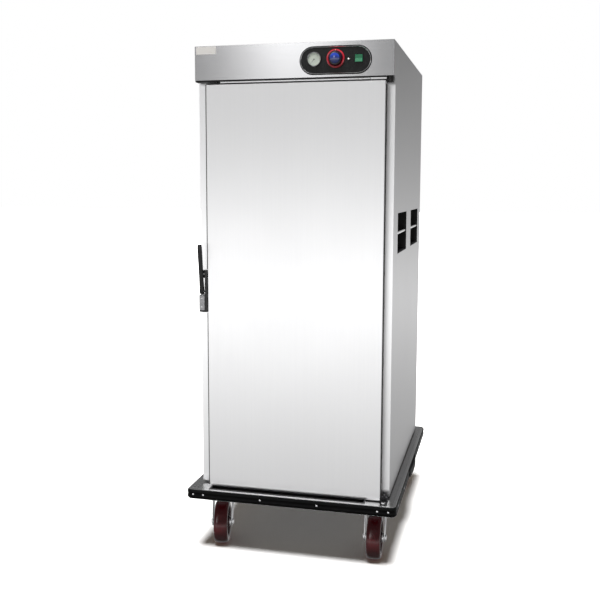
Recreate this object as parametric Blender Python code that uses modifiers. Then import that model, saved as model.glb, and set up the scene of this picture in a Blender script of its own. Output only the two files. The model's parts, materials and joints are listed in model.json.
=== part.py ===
"""Mobile proofing cabinet: insulated body, swing door, control header and caster base.

Units are metres, +Z is up, the door faces -Y, and the origin is on the floor under
the middle of the bumper's outline.
"""

import math

import bmesh
import bpy
from mathutils import Matrix, Vector

# ---------------------------------------------------------------- driving dimensions
OVERALL_HEIGHT = 1.75
BODY_HALF_WIDTH = 0.336
FRONT_Y = -0.4485          # face of the header and of the closed door
REAR_Y = 0.4531            # face of the back panel
POST_SETBACK = 0.040       # the posts stand this far behind the door's face
BODY_BOTTOM = 0.2345
HEADER_BOTTOM = 1.6377
POST_FACE_Y = FRONT_Y + POST_SETBACK
SHEET = 0.0012             # stainless sheet
GAP = 0.0003               # clearance between pieces that touch
FRAME_RETURN = 0.0250      # the front frame's fold into the body
PLINTH = (0.325, -0.390, 0.440)    # half width, front and rear of the rail under the body
PLINTH_RAIL = 0.010
TRIM_X = (-0.2487, 0.2600)         # ends of the strip between header and door

DOOR_LEFT = -0.2976
DOOR_RIGHT = 0.3098
DOOR_BOTTOM = 0.2305
DOOR_TOP = 1.6238
DOOR_THICKNESS = 0.030
HINGE_X = 0.3235
HINGE_Y = FRONT_Y + 0.012

PIN_RADIUS = 0.004
KNUCKLE_RADIUS = 0.010
BRACKET_REACH = 0.0105     # hinge axis to the bracket's outer edge
TOP_LEAF_END = 0.2640
GASKET_WIDTH = 0.0120
GASKET_LEFT = DOOR_LEFT + 0.0004
GASKET_RIGHT = 0.3030
GASKET_BOTTOM = DOOR_BOTTOM + 0.0015
GASKET_TOP = DOOR_TOP - 0.0018

CHAMBER_HALF_WIDTH = 0.2885
CHAMBER_FLOOR = 0.2665
CHAMBER_CEILING = 1.6005
CHAMBER_REAR = 0.3870
FOAM_LOW = (-0.3335, -0.3820, 0.2370)
FOAM_HIGH = (0.3335, 0.4505, 1.6360)

BASE_TOP = 0.2276
BASE_BOTTOM = 0.1925
DECK_SHEET = 0.0025
BUMPER_HALF_X = 0.3705
BUMPER_HALF_Y = 0.4925
CORNER_RADIUS = 0.020
BUMPER_DEPTH = 0.0138      # rubber, front to back
CHANNEL_LIP = 0.0040       # the channel's edges stand this far behind the rubber's face
CHANNEL_WEB = 0.0142
CHANNEL_SHEET = 0.0020
JOINT_COVER_RISE = 0.0080  # of the covers over the bumper's two joints
JOINT_COVER_HALF_LENGTH = 0.095
JOINT_COVER_HALF_CREST = 0.055
BASE_RING = (0.350, 0.472)         # half sizes
BASE_OPENING = (0.220, 0.290)
BASE_PLATE = 0.0030
CASTER_PLATE = (0.052, 0.045)      # half sizes
CASTER_PLATE_BOTTOM = 0.1850
DRIP_SLOT = (-0.288, FRONT_Y - 0.0225, 0.2585, FRONT_Y + 0.0280)
DRIP_TRAY_DEPTH = 0.020

GRIP_LENGTH = 0.260
GRIP_HEIGHT = 0.139
GRIP_CENTRES_Y = (-0.1640, 0.2320)
GRIP_Z = 1.1256
GRIP_FLOOR_X = 0.2960
GRIP_WALL = 0.0025
BAR_X = 0.3275
BAR_RADIUS = 0.006
BAR_OVERHANG = 0.015       # past the outer ends of the cups

TRAY_LEVELS = 11
TRAY_FIRST_Z = 0.430
TRAY_PITCH = 0.107
PAN_LEDGE_Z = 0.335
LEDGE_INNER_X = 0.250
LEDGE_THICKNESS = 0.0015
LEDGE_FRONT_Y = -0.395
LEDGE_REAR_Y = 0.265
RACK_STANDOFF = 0.0010     # between rack and chamber wall
RACK_TOP_GAP = 0.0040

PAN_LOW = (-0.2470, -0.240, 0.2900)
PAN_HIGH = (0.2470, 0.055)
PAN_SHEET = 0.0010
PAN_FLANGE = (0.0170, 0.0150)      # in X and in Y
HEATER_Z = 0.2785
HEATER_RADIUS = 0.00425
HEATER_BEND = 0.035
HEATER_TAIL_X = 0.040
HEATER_LOOP = (0.200, -0.220, 0.150)    # half width, front and rear
HEATER_TAIL_END = 0.410

FAN_Z = 0.930
FAN_Y = 0.365
FAN_BLADES = 12
MOTOR_Y = CHAMBER_REAR + 0.0270
DUCT_FRONT_Y = 0.3150
DUCT_HALF_WIDTH = 0.230
DUCT_BOTTOM = 0.400
DUCT_TOP = 1.450
DUCT_INTAKE_RADIUS = 0.055
SLOT_X = 0.130
SLOT_HALF_LENGTH = 0.060
SLOT_RISE = (0.050, 0.058)         # the slots' edges above each tray ledge
PROBE_X = 0.100
PROBE_Y = 0.290
PROBE_RADIUS = 0.0042
INLET_X = 0.220
INLET_Z = 0.300
INLET_HALF = (0.0140, 0.0105)
INLET_FRONT_Y = 0.425

CONTROL_X = 0.1458
CONTROL_Z = 1.6908
CONTROL_HALF_LENGTH = 0.1188
CONTROL_HALF_HEIGHT = 0.0455
BEZEL_WIDTH = 0.0050
BEZEL_RISE = 0.0045
DIAL_X = 0.0760
KNOB_X = 0.1470
PILOT_X = 0.1890
SWITCH_X = 0.2223
DIAL_ROW_Z = 1.6945
PILOT_Z = DIAL_ROW_Z - 0.002
PANEL_FACE_Y = FRONT_Y - 0.0023
NEEDLE_Y = PANEL_FACE_Y - 0.0036
NEEDLE_LENGTH = 0.0165
NEEDLE_ANGLE = 230         # degrees, where it rests at the low end of the scale
SWITCH_HALF = 0.0133
SWITCH_WALL = 0.0010
SWITCH_FLANGE = 0.0017
ROCKER_PIVOT_Y = PANEL_FACE_Y + 0.0020
ROCKER_TILT = 6            # degrees

LATCH_BOTTOM = 0.852
LATCH_TOP = 0.998
LATCH_PLATE_X = -0.3075
LATCH_PIVOT_Y = FRONT_Y - 0.003
LATCH_PIVOT_Z = 0.925
MAGNET_LEFT = -0.3285
MAGNET_TOP = 0.9120
LEVER_X = (-0.3252, -0.3095)
LEVER_BORE = 0.0034
LEVER_PIN = 0.0030

WHEEL_RADIUS = 0.075
WHEEL_HALF_WIDTH = 0.025
HUB_OVERHANG = 0.0065      # past the tread on each side
FORK_INNER = 0.0330        # half the space between the legs
FORK_SHEET = 0.0035
AXLE_RADIUS = 0.006
AXLE_HALF_LENGTH = 0.0410
NUT_RADIUS = 0.0095
CASTER_TRAIL = 0.038
CASTERS = {
    # word: (x, y, turn in degrees) of the swivel axis
    "front_left": (-0.282, -0.3415, 12.0),
    "front_right": (0.282, -0.3415, 3.0),
    "rear_left": (-0.282, 0.3415, 172.0),
    "rear_right": (0.282, 0.3415, 185.0),
}

# ------------------------------------------------------------------------- materials
FINISHES = {
    # name: (colour, roughness, metallic)
    "stainless": ((0.62, 0.62, 0.63), 0.32, 1.0),
    "chrome": ((0.80, 0.80, 0.81), 0.12, 1.0),
    "insulation": ((0.75, 0.70, 0.48), 0.95, 0.0),
    "black_plastic": ((0.015, 0.015, 0.016), 0.40, 0.0),
    "black_rubber": ((0.012, 0.012, 0.012), 0.55, 0.0),
    "red_wheel": ((0.16, 0.010, 0.015), 0.25, 0.0),
    "blue_knob": ((0.010, 0.035, 0.30), 0.15, 0.0),
    "dial_white": ((0.70, 0.73, 0.66), 0.40, 0.0),
    "needle_black": ((0.02, 0.02, 0.02), 0.40, 0.0),
    "lamp_white": ((0.90, 0.90, 0.88), 0.20, 0.0),
    "green_lens": ((0.010, 0.28, 0.12), 0.20, 0.0),
    "latch_black": ((0.02, 0.02, 0.02), 0.30, 0.6),
}


def clear_scene():
    """Remove everything that a new scene starts with."""
    for obj in list(bpy.data.objects):
        bpy.data.objects.remove(obj, do_unlink=True)


def new_collection(name):
    """A collection linked to the scene."""
    collection = bpy.data.collections.new(name)
    bpy.context.scene.collection.children.link(collection)
    return collection


def finish(name):
    """The Principled material with this name, made once."""
    material = bpy.data.materials.get(name)
    if material is None:
        colour, roughness, metallic = FINISHES[name]
        material = bpy.data.materials.new(name)
        material.use_nodes = True
        shader = material.node_tree.nodes["Principled BSDF"]
        shader.inputs["Base Color"].default_value = (*colour, 1.0)
        shader.inputs["Roughness"].default_value = roughness
        shader.inputs["Metallic"].default_value = metallic
    return material


clear_scene()
PARTS = new_collection("proofing_cabinet")
CUTTERS = new_collection("cutters")

# ------------------------------------------------------------------- shape functions
# Each maps a flat outline's (u, v) to two world axes and its thickness to the third.
TURNS = {
    "X": Matrix(((0, 0, 1), (1, 0, 0), (0, 1, 0))),    # u -> Y, v -> Z
    "Y": Matrix(((1, 0, 0), (0, 0, -1), (0, 1, 0))),   # u -> X, v -> Z
    "Z": Matrix.Identity(3),                           # u -> X, v -> Y
}
CUTTER = None              # material name of a shape that only cuts or joins


def place(name, mesh, material, at, parent=None):
    """Link a mesh as a named part, or as a hidden helper when it has no material."""
    obj = bpy.data.objects.new(name, mesh)
    obj.location = at
    if material is CUTTER:
        CUTTERS.objects.link(obj)
        obj.hide_render = True
        obj.display_type = "WIRE"
    else:
        PARTS.objects.link(obj)
        mesh.materials.clear()
        mesh.materials.append(finish(material))
    if parent is not None:
        attach(obj, parent)
    return obj


def attach(obj, pivot):
    """Parent obj to an unturned pivot without moving it."""
    obj.parent = pivot
    obj.location -= pivot.location


def pivot_empty(name, at, turn=0.0):
    """An empty on a joint's axis."""
    empty = bpy.data.objects.new(name, None)
    empty.location = at
    empty.rotation_euler.z = turn
    PARTS.objects.link(empty)
    return empty


def box(name, low, high, material, parent=None):
    """An axis-aligned block between two corners."""
    low = Vector(low)
    high = Vector(high)
    mesh = bpy.data.meshes.new(name)
    bm = bmesh.new()
    bmesh.ops.create_cube(bm, size=1.0, matrix=Matrix.Diagonal((*(high - low), 1.0)))
    bm.to_mesh(mesh)
    bm.free()
    return place(name, mesh, material, (low + high) / 2, parent)


def curve_mesh(curve, weld=0.00001):
    """The closed mesh of a curve, with its caps welded on."""
    holder = bpy.data.objects.new(curve.name, curve)
    bpy.context.scene.collection.objects.link(holder)
    graph = bpy.context.evaluated_depsgraph_get()
    mesh = bpy.data.meshes.new_from_object(holder.evaluated_get(graph))
    bpy.data.objects.remove(holder)
    bm = bmesh.new()
    bm.from_mesh(mesh)
    bmesh.ops.remove_doubles(bm, verts=bm.verts, dist=weld)
    bmesh.ops.recalc_face_normals(bm, faces=bm.faces)
    bm.to_mesh(mesh)
    bm.free()
    return mesh


def plate(name, loops, axis, low, high, material, at=(0, 0, 0), parent=None):
    """Flat outlines, with holes inside the first, extruded along an axis from low to high."""
    curve = bpy.data.curves.new(name, "CURVE")
    curve.dimensions = "2D"
    curve.fill_mode = "BOTH"
    curve.extrude = (high - low) / 2
    for loop in loops:
        spline = curve.splines.new("POLY")
        spline.points.add(len(loop) - 1)
        for point, (u, v) in zip(spline.points, loop):
            point.co = (u, v, 0, 1)
        spline.use_cyclic_u = True
    mesh = curve_mesh(curve)
    middle = (low + high) / 2
    shift = Vector([middle if letter == axis else 0 for letter in "XYZ"])
    mesh.transform(Matrix.Translation(shift) @ TURNS[axis].to_4x4())
    return place(name, mesh, material, at, parent)


def turned(name, profile, steps, axis, material, at, parent=None):
    """A profile of (radius, height), run down its outer side, turned about an axis."""
    mesh = bpy.data.meshes.new(name)
    edges = [(i, i + 1) for i in range(len(profile) - 1)]
    if profile[0][0] > 0:
        edges.append((len(profile) - 1, 0))
    mesh.from_pydata([(radius, 0, height) for radius, height in profile], edges, [])
    obj = place(name, mesh, material, at, parent)
    obj.rotation_euler = {
        "Z": (0, 0, 0),
        "-Y": (math.pi / 2, 0, 0),
        "X": (0, math.pi / 2, 0),
    }[axis]
    screw = obj.modifiers.new("turn", "SCREW")
    screw.axis = "Z"
    screw.steps = steps
    screw.render_steps = steps
    screw.use_merge_vertices = True
    screw.merge_threshold = 0.0001
    screw.use_smooth_shade = False
    return obj


def bridged(first, second):
    """The closed mesh between two like outlines in space."""
    count = len(first)
    mesh = bpy.data.meshes.new("bridged")
    walls = [(i, (i + 1) % count, (i + 1) % count + count, i + count) for i in range(count)]
    mesh.from_pydata([*first, *second], [], [range(count), range(count, 2 * count), *walls])
    bm = bmesh.new()
    bm.from_mesh(mesh)
    bmesh.ops.recalc_face_normals(bm, faces=bm.faces)
    bm.to_mesh(mesh)
    bm.free()
    return mesh


def rod(name, radius, axis, low, high, centre, material, steps=14, parent=None):
    """A round bar along an axis; centre gives the other two coordinates."""
    return plate(name, [circle(*centre, radius, steps)], axis, low, high, material, parent=parent)


def tube(name, points, radius, material):
    """A round wire along a list of points."""
    curve = bpy.data.curves.new(name, "CURVE")
    curve.dimensions = "3D"
    curve.bevel_depth = radius
    curve.bevel_resolution = 2
    curve.use_fill_caps = True
    spline = curve.splines.new("POLY")
    spline.points.add(len(points) - 1)
    for point, co in zip(spline.points, points):
        point.co = (*co, 1)
    return place(name, curve_mesh(curve), material, (0, 0, 0))


def modify(obj, other, operation):
    """Cut obj with other, or join other to it."""
    modifier = obj.modifiers.new(operation.lower(), "BOOLEAN")
    modifier.operation = operation
    modifier.solver = "EXACT"
    modifier.object = other
    return obj


def cut(obj, *cutters):
    """Cut each cutter out of obj."""
    for cutter in cutters:
        modify(obj, cutter, "DIFFERENCE")
    return obj


def join(obj, *others):
    """Fuse each helper shape into obj."""
    for other in others:
        modify(obj, other, "UNION")
    return obj


def soften(obj, width, segments=2, angle=40):
    """Round the sharp edges."""
    bevel = obj.modifiers.new("soften", "BEVEL")
    bevel.width = width
    bevel.segments = segments
    bevel.limit_method = "ANGLE"
    bevel.angle_limit = math.radians(angle)
    return obj


def settle(obj):
    """Replace obj's mesh by its evaluated one, so that copies can share it."""
    graph = bpy.context.evaluated_depsgraph_get()
    mesh = bpy.data.meshes.new_from_object(obj.evaluated_get(graph))
    obj.modifiers.clear()
    obj.data = mesh
    return mesh


def joined(name, shapes):
    """One hidden helper made of several separate shapes."""
    bm = bmesh.new()
    for shape in shapes:
        mesh = settle(shape).copy()
        mesh.transform(shape.matrix_basis)
        bm.from_mesh(mesh)
        bpy.data.objects.remove(shape)
    mesh = bpy.data.meshes.new(name)
    bm.to_mesh(mesh)
    bm.free()
    return place(name, mesh, CUTTER, (0, 0, 0))


# ------------------------------------------------------------------------- outlines
def arc(u, v, radius, start, end, steps):
    """Points on an arc, angles in degrees."""
    angles = [math.radians(start + (end - start) * i / steps) for i in range(steps + 1)]
    return [(u + radius * math.cos(a), v + radius * math.sin(a)) for a in angles]


def circle(u, v, radius, steps=24):
    """A full circle's points."""
    return arc(u, v, radius, 0, 360, steps)[:-1]


def rectangle(u0, v0, u1, v1):
    """A sharp rectangle's corners."""
    return [(u0, v0), (u1, v0), (u1, v1), (u0, v1)]


def rounded(u0, v0, u1, v1, radius, steps=5):
    """A rectangle with round corners."""
    return (
        arc(u1 - radius, v0 + radius, radius, -90, 0, steps)
        + arc(u1 - radius, v1 - radius, radius, 0, 90, steps)
        + arc(u0 + radius, v1 - radius, radius, 90, 180, steps)
        + arc(u0 + radius, v0 + radius, radius, 180, 270, steps)
    )


def inset_frame(inset, steps=5):
    """The bumper's outline, drawn in by a distance."""
    half_x = BUMPER_HALF_X - inset
    half_y = BUMPER_HALF_Y - inset
    return rounded(-half_x, -half_y, half_x, half_y, CORNER_RADIUS - inset, steps)


def stadium(u, v, half_length, half_height, steps=10):
    """A slot outline with half-round ends."""
    reach = half_length - half_height
    return (
        arc(u + reach, v, half_height, -90, 90, steps)
        + arc(u - reach, v, half_height, 90, 270, steps)
    )


def filleted(corners, radius, steps=5):
    """A path through corners, each rounded by a quarter-round arc of short steps."""
    path = [Vector(corners[0])]
    for before, corner, after in zip(corners, corners[1:], corners[2:]):
        corner = Vector(corner)
        inward = (Vector(before) - corner).normalized()
        outward = (Vector(after) - corner).normalized()
        centre = corner + (inward + outward) * radius
        for i in range(steps + 1):
            angle = math.pi / 2 * i / steps
            path.append(centre - (outward * math.cos(angle) + inward * math.sin(angle)) * radius)
    path.append(Vector(corners[-1]))
    return path


# ----------------------------------------------------------------------------- base
def build_deck():
    """Inverted pan that carries the body, with a slot for the drip tray."""
    edge = CHANNEL_WEB + CHANNEL_SHEET + GAP
    deck = plate("base_deck", [inset_frame(edge), rectangle(*DRIP_SLOT)], "Z",
                 BASE_TOP - DECK_SHEET, BASE_TOP, "stainless")
    skirt = plate("deck_skirt", [inset_frame(edge + 0.0002), inset_frame(edge + 0.0022)], "Z",
                  BASE_BOTTOM + 0.002, BASE_TOP - 0.0010, CUTTER)
    join(deck, skirt)


def build_base_frame():
    """Flat ring with an upright web; its four pads are the caster plates."""
    half_x, half_y = BASE_RING
    hole_x, hole_y = BASE_OPENING
    web = BASE_PLATE
    ring = plate("base_frame", [rounded(-half_x, -half_y, half_x, half_y, CORNER_RADIUS),
                                rectangle(-hole_x, -hole_y, hole_x, hole_y)],
                 "Z", BASE_BOTTOM, BASE_BOTTOM + web, "stainless")
    wall = plate("frame_web", [rectangle(-hole_x - web, -hole_y - web, hole_x + web, hole_y + web),
                               rectangle(0.0005 - hole_x, 0.0005 - hole_y, hole_x - 0.0005, hole_y - 0.0005)],
                 "Z", BASE_BOTTOM + 0.001, BASE_TOP - DECK_SHEET - GAP, CUTTER)
    pad_x, pad_y = CASTER_PLATE
    pads = joined("caster_pads", [
        box("pad", (x - pad_x, y - pad_y, CASTER_PLATE_BOTTOM),
            (x + pad_x, y + pad_y, BASE_BOTTOM + 0.001), CUTTER)
        for x, y, _ in CASTERS.values()
    ])
    join(ring, wall, pads)


def half_ring(outline, side):
    """The corner points of an outline on one side of Y = 0, from -X to +X."""
    points = [(x, y) for x, y in outline if y * side > 0]
    return sorted(points, key=lambda point: math.atan2(point[0], abs(point[1])))


def build_bumper():
    """Channel round the base, and the two rubber halves in it."""
    channel = plate("bumper_channel", [inset_frame(CHANNEL_LIP), inset_frame(CHANNEL_WEB + CHANNEL_SHEET)],
                    "Z", BASE_BOTTOM, BASE_TOP, "stainless")
    groove = plate("channel_groove", [rectangle(-0.45, -0.55, 0.45, 0.55), inset_frame(CHANNEL_WEB)], "Z",
                   BASE_BOTTOM + CHANNEL_SHEET, BASE_TOP - CHANNEL_SHEET, CUTTER)
    cut(channel, groove)
    outer = inset_frame(0.0)
    inner = inset_frame(BUMPER_DEPTH)
    back_x = BUMPER_HALF_X - BUMPER_DEPTH
    margin = CHANNEL_SHEET + GAP
    for name, side in (("bumper_front", -1), ("bumper_rear", 1)):
        end = side * GAP
        half = (
            [(-BUMPER_HALF_X, end)] + half_ring(outer, side) + [(BUMPER_HALF_X, end), (back_x, end)]
            + half_ring(inner, side)[::-1] + [(-back_x, end)]
        )
        rubber = plate(name, [half], "Z", BASE_BOTTOM + margin, BASE_TOP - margin, "black_rubber")
        soften(rubber, 0.0025, 2, 60)


def build_joint_covers():
    """Raised covers where the bumper's halves meet, halfway along each side."""
    end = JOINT_COVER_HALF_LENGTH
    flat = JOINT_COVER_HALF_CREST
    for name, side in (("bumper_joint_left", -1), ("bumper_joint_right", 1)):
        foot = side * (BUMPER_HALF_X + GAP)
        edge = foot + side * 0.002
        crest = side * (BUMPER_HALF_X + JOINT_COVER_RISE)
        outline = [(foot, -end), (edge, -end), (crest, -flat), (crest, flat), (edge, end), (foot, end)]
        cover = plate(name, [outline], "Z", BASE_BOTTOM + 0.003, BASE_TOP - 0.003, "black_rubber")
        soften(cover, 0.0012, 1, 60)


def build_drip_tray():
    """Trough let into the deck under the front of the door."""
    x0, y0, x1, y1 = DRIP_SLOT
    wall = 0.0015
    tray = box("drip_tray", (x0 + 0.0005, y0 + 0.0005, BASE_TOP - DRIP_TRAY_DEPTH),
               (x1 - 0.0005, y1 - 0.0005, BASE_TOP + 0.0010), "black_plastic")
    rim = plate("tray_rim", [rectangle(x0 - 0.003, y0 - 0.003, x1 + 0.003, y1 + 0.003),
                             rectangle(x0 + 0.0010, y0 + 0.0010, x1 - 0.0010, y1 - 0.0010)],
                "Z", BASE_TOP + GAP, BASE_TOP + 0.0013, CUTTER)
    hollow = box("tray_hollow", (x0 + 0.0005 + wall, y0 + 0.0005 + wall, BASE_TOP - DRIP_TRAY_DEPTH + wall),
                 (x1 - 0.0005 - wall, y1 - 0.0005 - wall, BASE_TOP + 0.010), CUTTER)
    cut(join(tray, rim), hollow)


# ----------------------------------------------------------------------------- body
def build_casing():
    """Side, back, top and bottom panels; the bottom one stands on a plinth."""
    edge = SHEET + GAP
    post_y = POST_FACE_Y + edge
    under_header = HEADER_BOTTOM + edge + 0.0001
    side_outline = [
        (post_y, BODY_BOTTOM), (REAR_Y - edge, BODY_BOTTOM), (REAR_Y - edge, OVERALL_HEIGHT - edge),
        (FRONT_Y + edge, OVERALL_HEIGHT - edge), (FRONT_Y + edge, under_header), (post_y, under_header),
    ]
    windows = [
        rectangle(y - GRIP_LENGTH / 2, GRIP_Z - GRIP_HEIGHT / 2,
                  y + GRIP_LENGTH / 2, GRIP_Z + GRIP_HEIGHT / 2)
        for y in GRIP_CENTRES_Y
    ]
    plate("side_panel_left", [side_outline, *windows], "X",
          -BODY_HALF_WIDTH, SHEET - BODY_HALF_WIDTH, "stainless")
    plate("side_panel_right", [side_outline, *windows], "X",
          BODY_HALF_WIDTH - SHEET, BODY_HALF_WIDTH, "stainless")
    plate("back_panel", [
        rectangle(-BODY_HALF_WIDTH, BODY_BOTTOM, BODY_HALF_WIDTH, OVERALL_HEIGHT - edge),
        inlet_outline(0.0005),
    ], "Y", REAR_Y - SHEET, REAR_Y, "stainless")
    box("top_panel", (-BODY_HALF_WIDTH, FRONT_Y + edge, OVERALL_HEIGHT - SHEET),
        (BODY_HALF_WIDTH, REAR_Y, OVERALL_HEIGHT), "stainless")
    floor_x = BODY_HALF_WIDTH - edge - 0.0001
    floor = box("bottom_panel", (-floor_x, post_y + 0.0005, BODY_BOTTOM),
                (floor_x, REAR_Y - edge - 0.0001, BODY_BOTTOM + SHEET), "stainless")
    outer_x, front_y, rear_y = PLINTH
    rail = PLINTH_RAIL
    plinth = plate("plinth", [rectangle(-outer_x, front_y, outer_x, rear_y),
                              rectangle(rail - outer_x, front_y + rail, outer_x - rail, rear_y - rail)],
                   "Z", BASE_TOP + GAP, BODY_BOTTOM + SHEET / 2, CUTTER)
    join(floor, plinth)


def build_fascia():
    """Header front, folded back underneath, with the opening behind the control plate."""
    back = FRONT_Y + SHEET
    fold = POST_FACE_Y - 0.0005
    profile = [(FRONT_Y, HEADER_BOTTOM), (fold, HEADER_BOTTOM), (fold, HEADER_BOTTOM + SHEET),
               (back, HEADER_BOTTOM + SHEET), (back, OVERALL_HEIGHT), (FRONT_Y, OVERALL_HEIGHT)]
    fascia = plate("header_fascia", [profile], "X", -BODY_HALF_WIDTH, BODY_HALF_WIDTH, "stainless")
    seat = BEZEL_WIDTH + 0.004
    opening = plate("control_opening",
                    [stadium(CONTROL_X, CONTROL_Z, CONTROL_HALF_LENGTH - seat, CONTROL_HALF_HEIGHT - seat)],
                    "Y", FRONT_Y - 0.010, FRONT_Y + 0.010, CUTTER)
    cut(fascia, opening)
    face = FRONT_Y + 0.005
    low = DOOR_TOP + 0.0025
    high = HEADER_BOTTOM - 0.0005
    trim = [(face, low), (face + SHEET, low), (face + SHEET, high - SHEET), (fold, high - SHEET),
            (fold, high), (face, high)]
    plate("lintel_trim", [trim], "X", *TRIM_X, "stainless")


def build_front_frame():
    """The posts and rails round the opening, in one piece, with an inward return."""
    edge = SHEET + GAP
    half = CHAMBER_HALF_WIDTH + edge
    low = CHAMBER_FLOOR - edge
    high = CHAMBER_CEILING + edge
    frame = plate("front_frame", [
        rectangle(-BODY_HALF_WIDTH, BODY_BOTTOM, BODY_HALF_WIDTH, HEADER_BOTTOM + 0.0013),
        rectangle(-half, low, half, high),
    ], "Y", POST_FACE_Y, POST_FACE_Y + SHEET, "stainless")
    ring = plate("frame_return", [
        rectangle(-half - edge, low - edge, half + edge, high + edge),
        rectangle(-half - GAP, low - GAP, half + GAP, high + GAP),
    ], "Y", POST_FACE_Y + SHEET / 2, POST_FACE_Y + FRAME_RETURN, CUTTER)
    join(frame, ring)


def build_liner():
    """Chamber shell, open at the front, pierced for the fan shaft, heater and probe."""
    x = CHAMBER_HALF_WIDTH
    front = POST_FACE_Y + 0.0045
    wall_y = (CHAMBER_REAR - 0.010, CHAMBER_REAR + 0.010)
    tail = HEATER_RADIUS + 0.00095
    liner = box("chamber_liner", (-x - SHEET, front, CHAMBER_FLOOR - SHEET),
                (x + SHEET, CHAMBER_REAR + SHEET, CHAMBER_CEILING + SHEET), "stainless")
    hollow = box("chamber_hollow", (-x, front - 0.050, CHAMBER_FLOOR),
                 (x, CHAMBER_REAR, CHAMBER_CEILING), CUTTER)
    holes = joined("liner_holes", [
        rod("hole", 0.015, "Y", *wall_y, (0, FAN_Z), CUTTER),
        rod("hole", tail, "Y", *wall_y, (-HEATER_TAIL_X, HEATER_Z), CUTTER, 16),
        rod("hole", tail, "Y", *wall_y, (HEATER_TAIL_X, HEATER_Z), CUTTER, 16),
        rod("hole", PROBE_RADIUS + 0.0006, "Z", CHAMBER_CEILING - 0.010, CHAMBER_CEILING + 0.010,
            (PROBE_X, PROBE_Y), CUTTER, 16),
    ])
    cut(liner, hollow, holes)


def build_insulation(passages):
    """Foam block round the liner, with pockets for the grips, motor, heater tails and probe."""
    foam = box("insulation", FOAM_LOW, FOAM_HIGH, "insulation")
    clear = SHEET + 2 * GAP
    hollow = box("foam_hollow",
                 (-CHAMBER_HALF_WIDTH - clear, FOAM_LOW[1] - 0.050, CHAMBER_FLOOR - clear),
                 (CHAMBER_HALF_WIDTH + clear, CHAMBER_REAR + clear + 0.0002, CHAMBER_CEILING + clear), CUTTER)
    pockets = [
        grip_block("grip_pocket", side, y, GRIP_WALL + 0.0005, 0.350) for side in (-1, 1)
        for y in GRIP_CENTRES_Y
    ]
    start = CHAMBER_REAR - 0.007
    through = FOAM_HIGH[1] + 0.020
    pockets += [
        box("motor_pocket", (-0.050, start, FAN_Z - 0.050), (0.050, through, FAN_Z + 0.050), CUTTER),
        box("tail_pocket", (-0.060, start, HEATER_Z - 0.012),
            (0.060, HEATER_TAIL_END + 0.020, HEATER_Z + 0.012), CUTTER),
        box("inlet_pocket", (INLET_X - 0.020, INLET_FRONT_Y - 0.010, INLET_Z - 0.017),
            (INLET_X + 0.020, through, INLET_Z + 0.017), CUTTER),
        rod("probe_pocket", 0.006, "Z", CHAMBER_CEILING - 0.010, FOAM_HIGH[2] + 0.014,
            (PROBE_X, PROBE_Y), CUTTER, 16),
    ]
    cut(foam, hollow, joined("foam_pockets", pockets), *passages)


# ---------------------------------------------------------------------------- grips
def grip_block(name, side, y, wall, outer_x, material=CUTTER):
    """A block behind one grip window, from the grip's floor less a wall out to outer_x."""
    xs = sorted((side * (GRIP_FLOOR_X - wall), side * outer_x))
    return box(name, (xs[0], y - GRIP_LENGTH / 2 - wall, GRIP_Z - GRIP_HEIGHT / 2 - wall),
               (xs[1], y + GRIP_LENGTH / 2 + wall, GRIP_Z + GRIP_HEIGHT / 2 + wall), material)


def build_grips():
    """Recessed cups behind the side panels, with one grab bar a side; returns the bars' passages."""
    reach = GRIP_LENGTH / 2 + BAR_OVERHANG
    start = GRIP_CENTRES_Y[0] - reach
    end = GRIP_CENTRES_Y[1] + reach
    passages = []
    for side, word in ((-1, "left"), (1, "right")):
        centre = (side * BAR_X, GRIP_Z)
        passage = rod("bar_passage_" + word, BAR_RADIUS + GAP, "Y", start - 0.001, end + 0.001, centre,
                      CUTTER)
        passages.append(passage)
        rod("grip_bar_" + word, BAR_RADIUS, "Y", start, end, centre, "chrome")
        for y, row in zip(GRIP_CENTRES_Y, ("front", "rear")):
            name = "grip_cup_" + row + "_" + word
            block = grip_block(name, side, y, GRIP_WALL, BODY_HALF_WIDTH - SHEET - GAP, "black_plastic")
            cut(block, grip_block(name + "_hollow", side, y, 0.0, 0.350), passage)
    return passages


# --------------------------------------------------------------------------- inside
def ledge_heights():
    """Undersides of the pan ledge and of the tray ledges."""
    return [PAN_LEDGE_Z] + [TRAY_FIRST_Z + TRAY_PITCH * i for i in range(TRAY_LEVELS)]


def build_racks():
    """A sheet on each side wall with a runner on it for every tray level, all one section."""
    wall = CHAMBER_HALF_WIDTH - RACK_STANDOFF
    face = wall - SHEET
    low = CHAMBER_FLOOR + GAP
    high = CHAMBER_CEILING - RACK_TOP_GAP
    section = [(wall, low), (wall, high), (face, high)]
    for z in reversed(ledge_heights()):
        top = z + LEDGE_THICKNESS
        section += [(face, top), (LEDGE_INNER_X, top), (LEDGE_INNER_X, z), (face, z)]
    section.append((face, low))
    for side, word in ((-1, "left"), (1, "right")):
        ends = [[(side * x, y, z) for x, z in section] for y in (LEDGE_FRONT_Y, LEDGE_REAR_Y)]
        place("tray_rack_" + word, bridged(*ends), "stainless", (0, 0, 0))


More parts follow.
